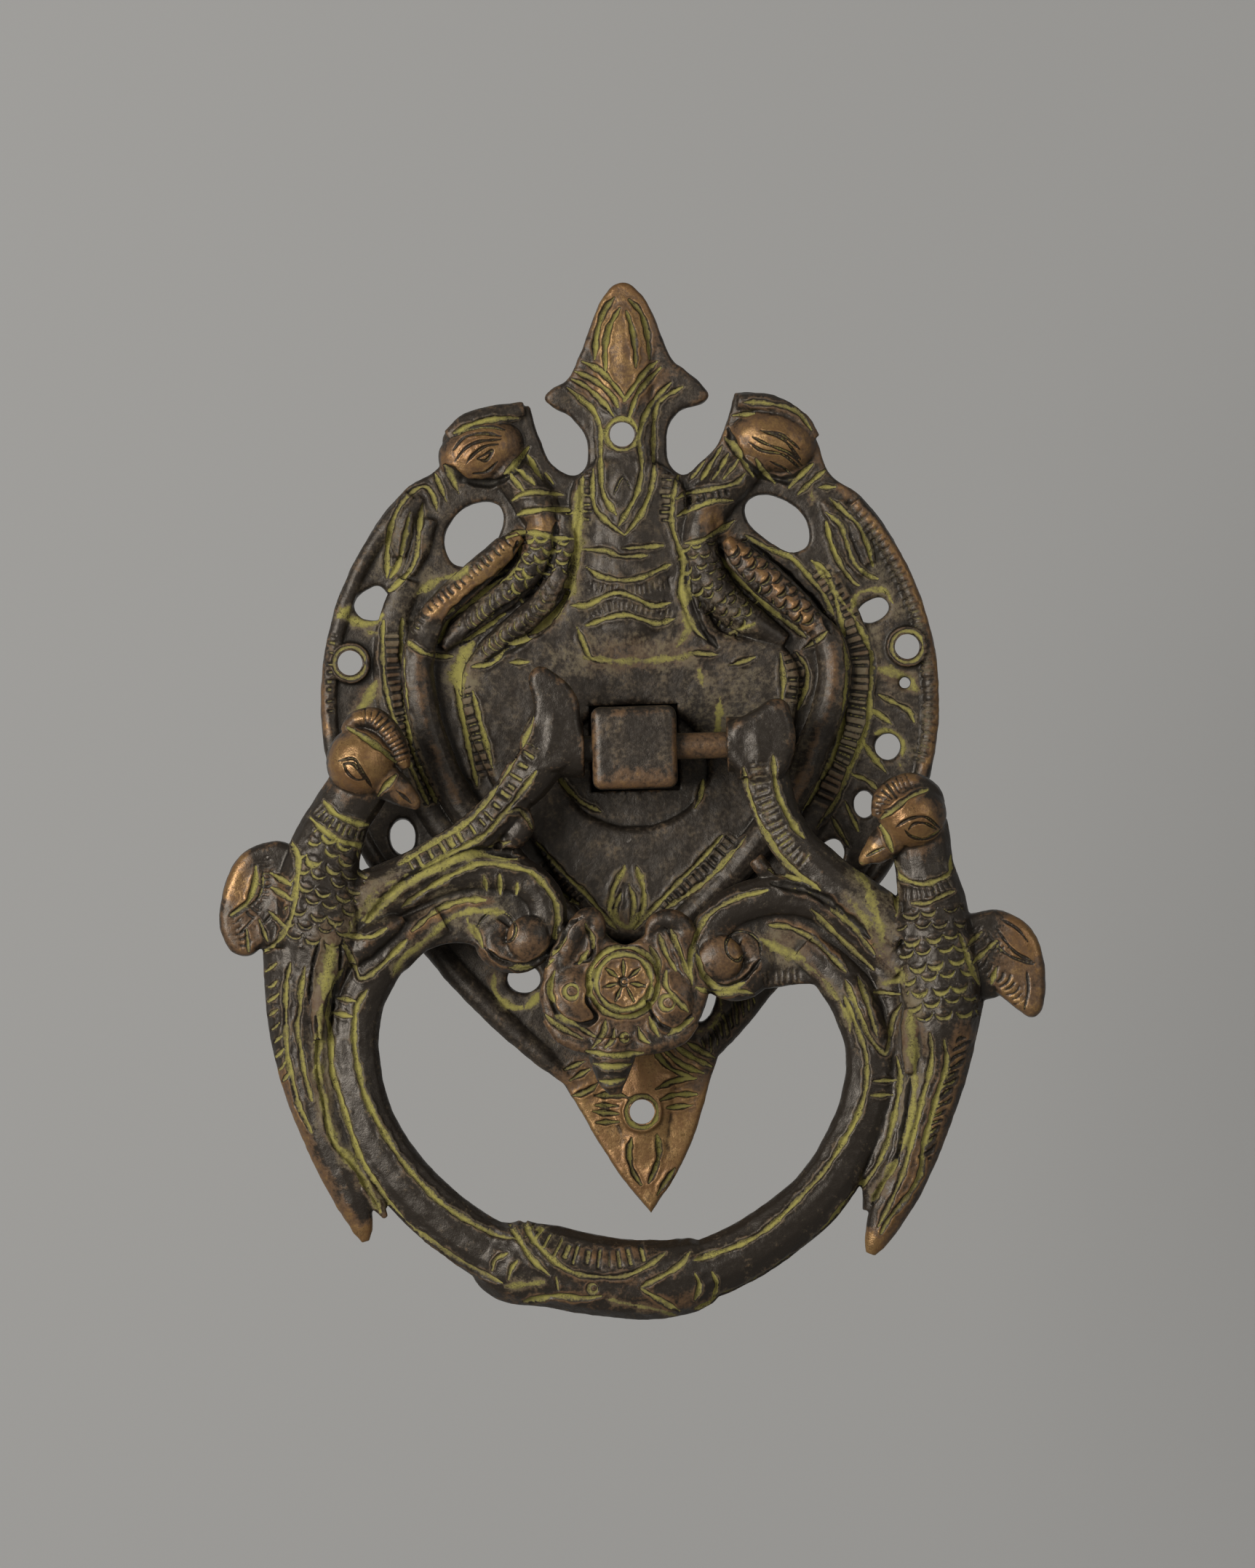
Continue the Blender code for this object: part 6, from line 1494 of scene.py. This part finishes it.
def aged_brass(name, colours, gloss, paler):
    """Dark patina on brass, with verdigris in the grooves, dust, and copper wear on the high spots;
    near-black painted shade in the hollows, and grime with painted shade in the grooves.
    """
    material = bpy.data.materials.new(name)
    material.use_nodes = True
    tree = material.node_tree
    shader = tree.nodes["Principled BSDF"]
    shader.inputs["Specular IOR Level"].default_value = SPECULAR_LEVEL
    shader.inputs["Specular Tint"].default_value = SPECULAR_TINT
    place = node(tree, "ShaderNodeTexCoord").outputs["Object"]
    grit = noise(tree, place, GRIT, 2)
    grain = noise(tree, place, GRAIN, 4)
    blotch = noise(tree, place, BLOTCH, 5)
    cloud = noise(tree, place, CLOUD, 3)
    speckle = total(tree, blotch, grain, 0.8)
    uneven = total(tree, speckle, cloud, 1.2)
    rubbed = total(tree, attribute(tree, "worn"), speckle, 1.1)
    warm = step_of(tree, rubbed, *WARM_STEP)
    # Copper on the worn share, which on the plate's ridges is a painted highlight
    worn = step_of(tree, rubbed, *WORN_STEP)
    flow = attribute(tree, "verdigris")
    green = step_of(tree, total(tree, flow, uneven, 0.45), *GREEN_STEP)
    pits = step_of(tree, total(tree, grit, blotch, 0.8), *PITS_STEP, top=0.75)
    dusty = total(tree, total(tree, attribute(tree, "dust"), speckle, 1.3), grit, 0.6)
    tan = step_of(tree, dusty, *TAN_STEP, top=0.9)
    # Painted shade: near-black in the hollows that the mesh marks
    painted_shade = step_of(tree, attribute(tree, "hollow"), *PAINTED_SHADE_STEP, top=0.85)
    # Grooves painted near-black: partly grime in them, partly painted shade
    groove_shade_and_grime = step_of(tree, total(tree, attribute(tree, "groove"), speckle, 0.25), *GROOVE_SHADE_AND_GRIME_STEP, top=0.9)
    pale = step_of(tree, speckle, paler, paler + PALE_SPAN)
    colour = blend(tree, pale, tuple(colours.patina), tuple(colours.sheen))
    powder = blend(tree, step_of(tree, uneven, *POWDER_STEP), tuple(colours.brown), tuple(colours.dust))
    colour = blend(tree, tan, colour, powder)
    colour = blend(tree, warm, colour, tuple(colours.brown))
    copper = blend(tree, step_of(tree, uneven, *BRASSY_STEP), tuple(colours.copper), tuple(colours.brass))
    copper = blend(tree, pits, copper, tuple(colours.brown))
    colour = blend(tree, worn, colour, copper)
    colour = blend(tree, painted_shade, colour, tuple(colours.shade_and_grime))
    colour = blend(tree, groove_shade_and_grime, colour, tuple(colours.shade_and_grime))
    hue = total(tree, total(tree, cloud, grain, 0.8), flow)
    olive = blend(tree, step_of(tree, hue, *YELLOW_STEP), tuple(colours.ochre), tuple(colours.verdigris))
    olive = blend(tree, pits, olive, tuple(colours.shade_and_grime))
    colour = blend(tree, green, colour, olive)
    tree.links.new(colour, shader.inputs["Base Color"])
    metal = node(tree, "ShaderNodeMath", {0: worn, 1: WORN_METAL}, operation="MULTIPLY").outputs[0]
    tree.links.new(metal, shader.inputs["Metallic"])
    rough = total(tree, step_of(tree, grain, 0.3, 0.7, gloss, gloss + MATT_SPAN), green, 0.4)
    rough = total(tree, rough, tan, 0.3)
    rough = total(tree, rough, worn, -0.05)
    tree.links.new(rough, shader.inputs["Roughness"])
    height = total(tree, total(tree, grain, blotch, 1.2), grit, 0.5)
    values = {"Height": height, "Strength": SKIN_BUMP, "Distance": SKIN_DEPTH * MM}
    bump = node(tree, "ShaderNodeBump", values)
    tree.links.new(bump.outputs["Normal"], shader.inputs["Normal"])
    return material


def dress(thing, material, body, parent_node):
    """Give a finished piece its material and its place in the frame."""
    thing.data.materials.clear()
    thing.data.materials.append(material)
    thing.data.shade_smooth()
    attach(thing, body)
    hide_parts(parent_node)


def grains(fine):
    return fine


def shift(thing, out):
    """Move a mesh out from the door."""
    thing.data.transform(Matrix.Translation(spot(0, 0, out)))


def colour_setting(name, description, value):
    """A colour that a user may change."""
    return bpy.props.FloatVectorProperty(name=name, description=description, default=value, subtype="COLOR",
                                         min=0, max=1)


class KnockerSizes(bpy.types.PropertyGroup):
    """The sizes that set how fine the castings are."""

    grain: bpy.props.FloatProperty(name="Grain", description="Spacing of the castings' points",
                                   default=0.24 * MM, min=0.1 * MM, unit="LENGTH")
    groove: bpy.props.FloatProperty(name="Groove depth", description="Depth of the chased lines",
                                    default=0.4 * MM, min=0.0, unit="LENGTH")


class KnockerColours(bpy.types.PropertyGroup):
    """The colours of the finishes and the backdrop."""

    patina: colour_setting("Patina", "Dark skin of the castings", (0.0145, 0.0108, 0.0078))
    sheen: colour_setting("Sheen", "Paler skin where hands have passed", (0.042, 0.031, 0.021))
    brown: colour_setting("Brown", "Half-worn skin", (0.085, 0.047, 0.023))
    # Near-black painted into the hollows and grooves as shade, and into grooves and pits as grime
    shade_and_grime: colour_setting("Shade and grime", "Painted shade in hollows and grooves, grime in grooves and pits", (0.006, 0.0048, 0.0036))
    copper: colour_setting("Copper", "Reddish wear", (0.178, 0.092, 0.037))
    brass: colour_setting("Brass", "Yellowish wear", (0.235, 0.138, 0.053))
    verdigris: colour_setting("Verdigris", "Yellow-green in the grooves", (0.25, 0.22, 0.058))
    ochre: colour_setting("Ochre", "Duller yellow in the grooves", (0.115, 0.093, 0.04))
    dust: colour_setting("Dust", "Tan dust on the fields", (0.135, 0.108, 0.062))
    backdrop: colour_setting("Backdrop", "Paper behind the knocker", (0.35, 0.342, 0.327))


class KNOCKER_OT_back_plate(bpy.types.Operator):
    """Build the openwork plate with its relief birds"""

    bl_idname = "knocker.back_plate"
    bl_label = "Back plate"

    def execute(self, context):
        sizes, colours = context.scene.knocker_sizes, context.scene.knocker_colours
        thing = casting("plate_casting", plate_shapes(), plate_cutters(), grains(sizes.grain / MM),
                        SOFTENING, WAX)
        marks = Marks(thing)
        mark_plate(marks, sizes.groove / MM)
        marks.press(thing)
        weather(thing, marks, PLATE_WEAR_AND_HIGHLIGHT_SPOTS, PLATE_WEAR_AND_HIGHLIGHT_LINES, PLATE_DUST, **PLATE_AGE)
        thin(thing, TRIANGLES)
        dress(thing, aged_brass("plate_finish", colours, **PLATE_SKIN), "plate", "back_plate")
        return {"FINISHED"}


class KNOCKER_OT_hinge_lug(bpy.types.Operator):
    """Build the squared lug that carries the pin"""

    bl_idname = "knocker.hinge_lug"
    bl_label = "Hinge lug"

    def execute(self, context):
        colours = context.scene.knocker_colours
        body = block(-LUG_HALF, LUG_HALF, -LUG_RISE, LUG_RISE, RIM_THICKNESS + FIT, LUG_FRONT)
        bmesh.ops.bevel(body, geom=body.edges[:], offset=LUG_EDGE * MM, segments=5, affect="EDGES",
                        profile=0.5)
        bore = barrel(-2 * LUG_HALF, 2 * LUG_HALF, PIN_RADIUS + FIT, 0, PIN_DEPTH)
        thing = casting("lug_block", [body], [bore], grains(LUG_GRAIN), LUG_SOFTENING, LUG_WAX)
        marks = Marks(thing)
        weather(thing, marks, LUG_WORN, (), (), **LUG_AGE)
        dress(thing, aged_brass("lug_finish", colours, **LUG_SKIN), "plate", "hinge_lug")
        return {"FINISHED"}


class KNOCKER_OT_hinge_pin(bpy.types.Operator):
    """Build the worn pin"""

    bl_idname = "knocker.hinge_pin"
    bl_label = "Hinge pin"

    def execute(self, context):
        colours = context.scene.knocker_colours
        rod = barrel(PIN_LEFT, PIN_RIGHT, PIN_RADIUS)
        thing = casting("pin_rod", [rod], [], grains(PIN_GRAIN), SOFTENING)
        shift(thing, PIN_DEPTH)
        marks = Marks(thing)
        weather(thing, marks, PIN_WORN, (), (), **PIN_AGE)
        dress(thing, aged_brass("pin_finish", colours, **PIN_SKIN), "pin", "hinge_pin")
        return {"FINISHED"}


class KNOCKER_OT_ring(bpy.types.Operator):
    """Build the ring with its birds, scrolls and striking pad"""

    bl_idname = "knocker.ring"
    bl_label = "Knocker ring"

    def execute(self, context):
        sizes, colours = context.scene.knocker_sizes, context.scene.knocker_colours
        bore = barrel(PIN_LEFT - KNUCKLE_LEFT, PIN_RIGHT + KNUCKLE_LEFT, PIN_RADIUS + FIT)
        thing = casting("ring_casting", ring_shapes(), [bore], grains(sizes.grain / MM), SOFTENING, WAX)
        shift(thing, PIN_DEPTH)
        marks = Marks(thing)
        mark_ring(marks, sizes.groove / MM)
        marks.press(thing)
        weather(thing, marks, RING_WORN, RING_WORN_LINES, RING_DUST, **RING_AGE)
        thin(thing, TRIANGLES)
        dress(thing, aged_brass("ring_finish", colours, **RING_SKIN), "ring", "knocker_ring")
        return {"FINISHED"}


def lamp(name, place, size, power):
    """A soft square lamp that faces the middle of the knocker."""
    light = bpy.data.lights.new(name, "AREA")
    light.size = size
    light.energy = power
    thing = bpy.data.objects.new(name, light)
    thing.location = place
    thing.rotation_euler = (-Vector(place)).to_track_quat("-Z", "Y").to_euler()
    bpy.context.scene.collection.objects.link(thing)


def backdrop(colour):
    """A sheet of paper well behind the plate, clear from its other side."""
    shape = bmesh.new()
    bmesh.ops.create_grid(shape, x_segments=1, y_segments=1, size=PAPER_HALF)
    upright = Matrix.Translation(spot(0, 0, -PAPER_BEHIND)) @ Matrix.Rotation(math.pi / 2, 4, "X")
    bmesh.ops.transform(shape, matrix=upright, verts=shape.verts)
    thing = solid("backdrop", shape)
    material = bpy.data.materials.new("paper")
    material.use_nodes = True
    tree = material.node_tree
    shader = tree.nodes["Principled BSDF"]
    shader.inputs["Base Color"].default_value = (*colour, 1)
    shader.inputs["Roughness"].default_value = 0.9
    shader.inputs["Specular IOR Level"].default_value = 0.1
    behind = node(tree, "ShaderNodeNewGeometry").outputs["Backfacing"]
    clear = node(tree, "ShaderNodeBsdfTransparent").outputs[0]
    mixed = node(tree, "ShaderNodeMixShader", {0: behind, 1: shader.outputs[0], 2: clear}).outputs[0]
    tree.links.new(mixed, tree.nodes["Material Output"].inputs["Surface"])
    thing.data.materials.append(material)
    thing.visible_shadow = False
    thing.visible_diffuse = False


def sky(level):
    """Even light from all round."""
    world = bpy.data.worlds.new("studio")
    world.use_nodes = True
    ground = world.node_tree.nodes["Background"]
    ground.inputs["Color"].default_value = (1, 1, 1, 1)
    ground.inputs["Strength"].default_value = level
    bpy.context.scene.world = world


def photo_camera():
    """The camera of the photograph: straight on, from far away, rolled a little."""
    data = bpy.data.cameras.new("photo_camera")
    data.sensor_fit = "AUTO"
    data.sensor_width = SENSOR
    data.lens = SENSOR * CAMERA_FAR / (PHOTO_TALL * PHOTO_SCALE)
    data.clip_start = 0.05
    data.clip_end = 20
    thing = bpy.data.objects.new("photo_camera", data)
    right = (math.cos(PHOTO_TURN), 0, -math.sin(PHOTO_TURN))
    above = (math.sin(PHOTO_TURN), 0, math.cos(PHOTO_TURN))
    turn = Matrix((right, above, (0, -1, 0))).transposed().to_4x4()
    thing.matrix_world = Matrix.Translation(spot(*PHOTO_CENTRE, CAMERA_FAR)) @ turn
    bpy.context.scene.collection.objects.link(thing)
    bpy.context.scene.camera = thing


class KNOCKER_OT_stage(bpy.types.Operator):
    """Set up the backdrop, the soft lamps and the camera"""

    bl_idname = "knocker.stage"
    bl_label = "Stage"

    def execute(self, context):
        backdrop(tuple(context.scene.knocker_colours.backdrop))
        sky(SKY_LEVEL)
        lamp("left_lamp", **LEFT_LAMP)
        lamp("right_lamp", **RIGHT_LAMP)
        photo_camera()
        context.scene.view_settings.view_transform = "Standard"
        return {"FINISHED"}


class KNOCKER_PT_panel(bpy.types.Panel):
    """The sidebar list of the knocker's pieces"""

    bl_idname = "KNOCKER_PT_panel"
    bl_label = "Door knocker"
    bl_space_type = "VIEW_3D"
    bl_region_type = "UI"
    bl_category = "Knocker"

    def draw(self, context):
        layout = self.layout
        for group in (context.scene.knocker_sizes, context.scene.knocker_colours):
            for name in group.__annotations__:
                layout.prop(group, name)
        for operator in OPERATORS:
            layout.operator(operator.bl_idname)


OPERATORS = (KNOCKER_OT_back_plate, KNOCKER_OT_hinge_lug, KNOCKER_OT_hinge_pin, KNOCKER_OT_ring,
             KNOCKER_OT_stage)
CLASSES = (KnockerSizes, KnockerColours, *OPERATORS, KNOCKER_PT_panel)


def register():
    """Register the classes and the scene's settings."""
    for item in CLASSES:
        bpy.utils.register_class(item)
    bpy.types.Scene.knocker_sizes = bpy.props.PointerProperty(type=KnockerSizes)
    bpy.types.Scene.knocker_colours = bpy.props.PointerProperty(type=KnockerColours)


def unregister():
    """Take the settings and the classes away again."""
    del bpy.types.Scene.knocker_colours
    del bpy.types.Scene.knocker_sizes
    for item in reversed(CLASSES):
        bpy.utils.unregister_class(item)


def main():
    """Register the add-on, set up the stage and build every piece."""
    register()
    bpy.ops.knocker.stage()
    bpy.ops.knocker.back_plate()
    bpy.ops.knocker.hinge_lug()
    bpy.ops.knocker.hinge_pin()
    bpy.ops.knocker.ring()


if __name__ == "__main__":
    main()
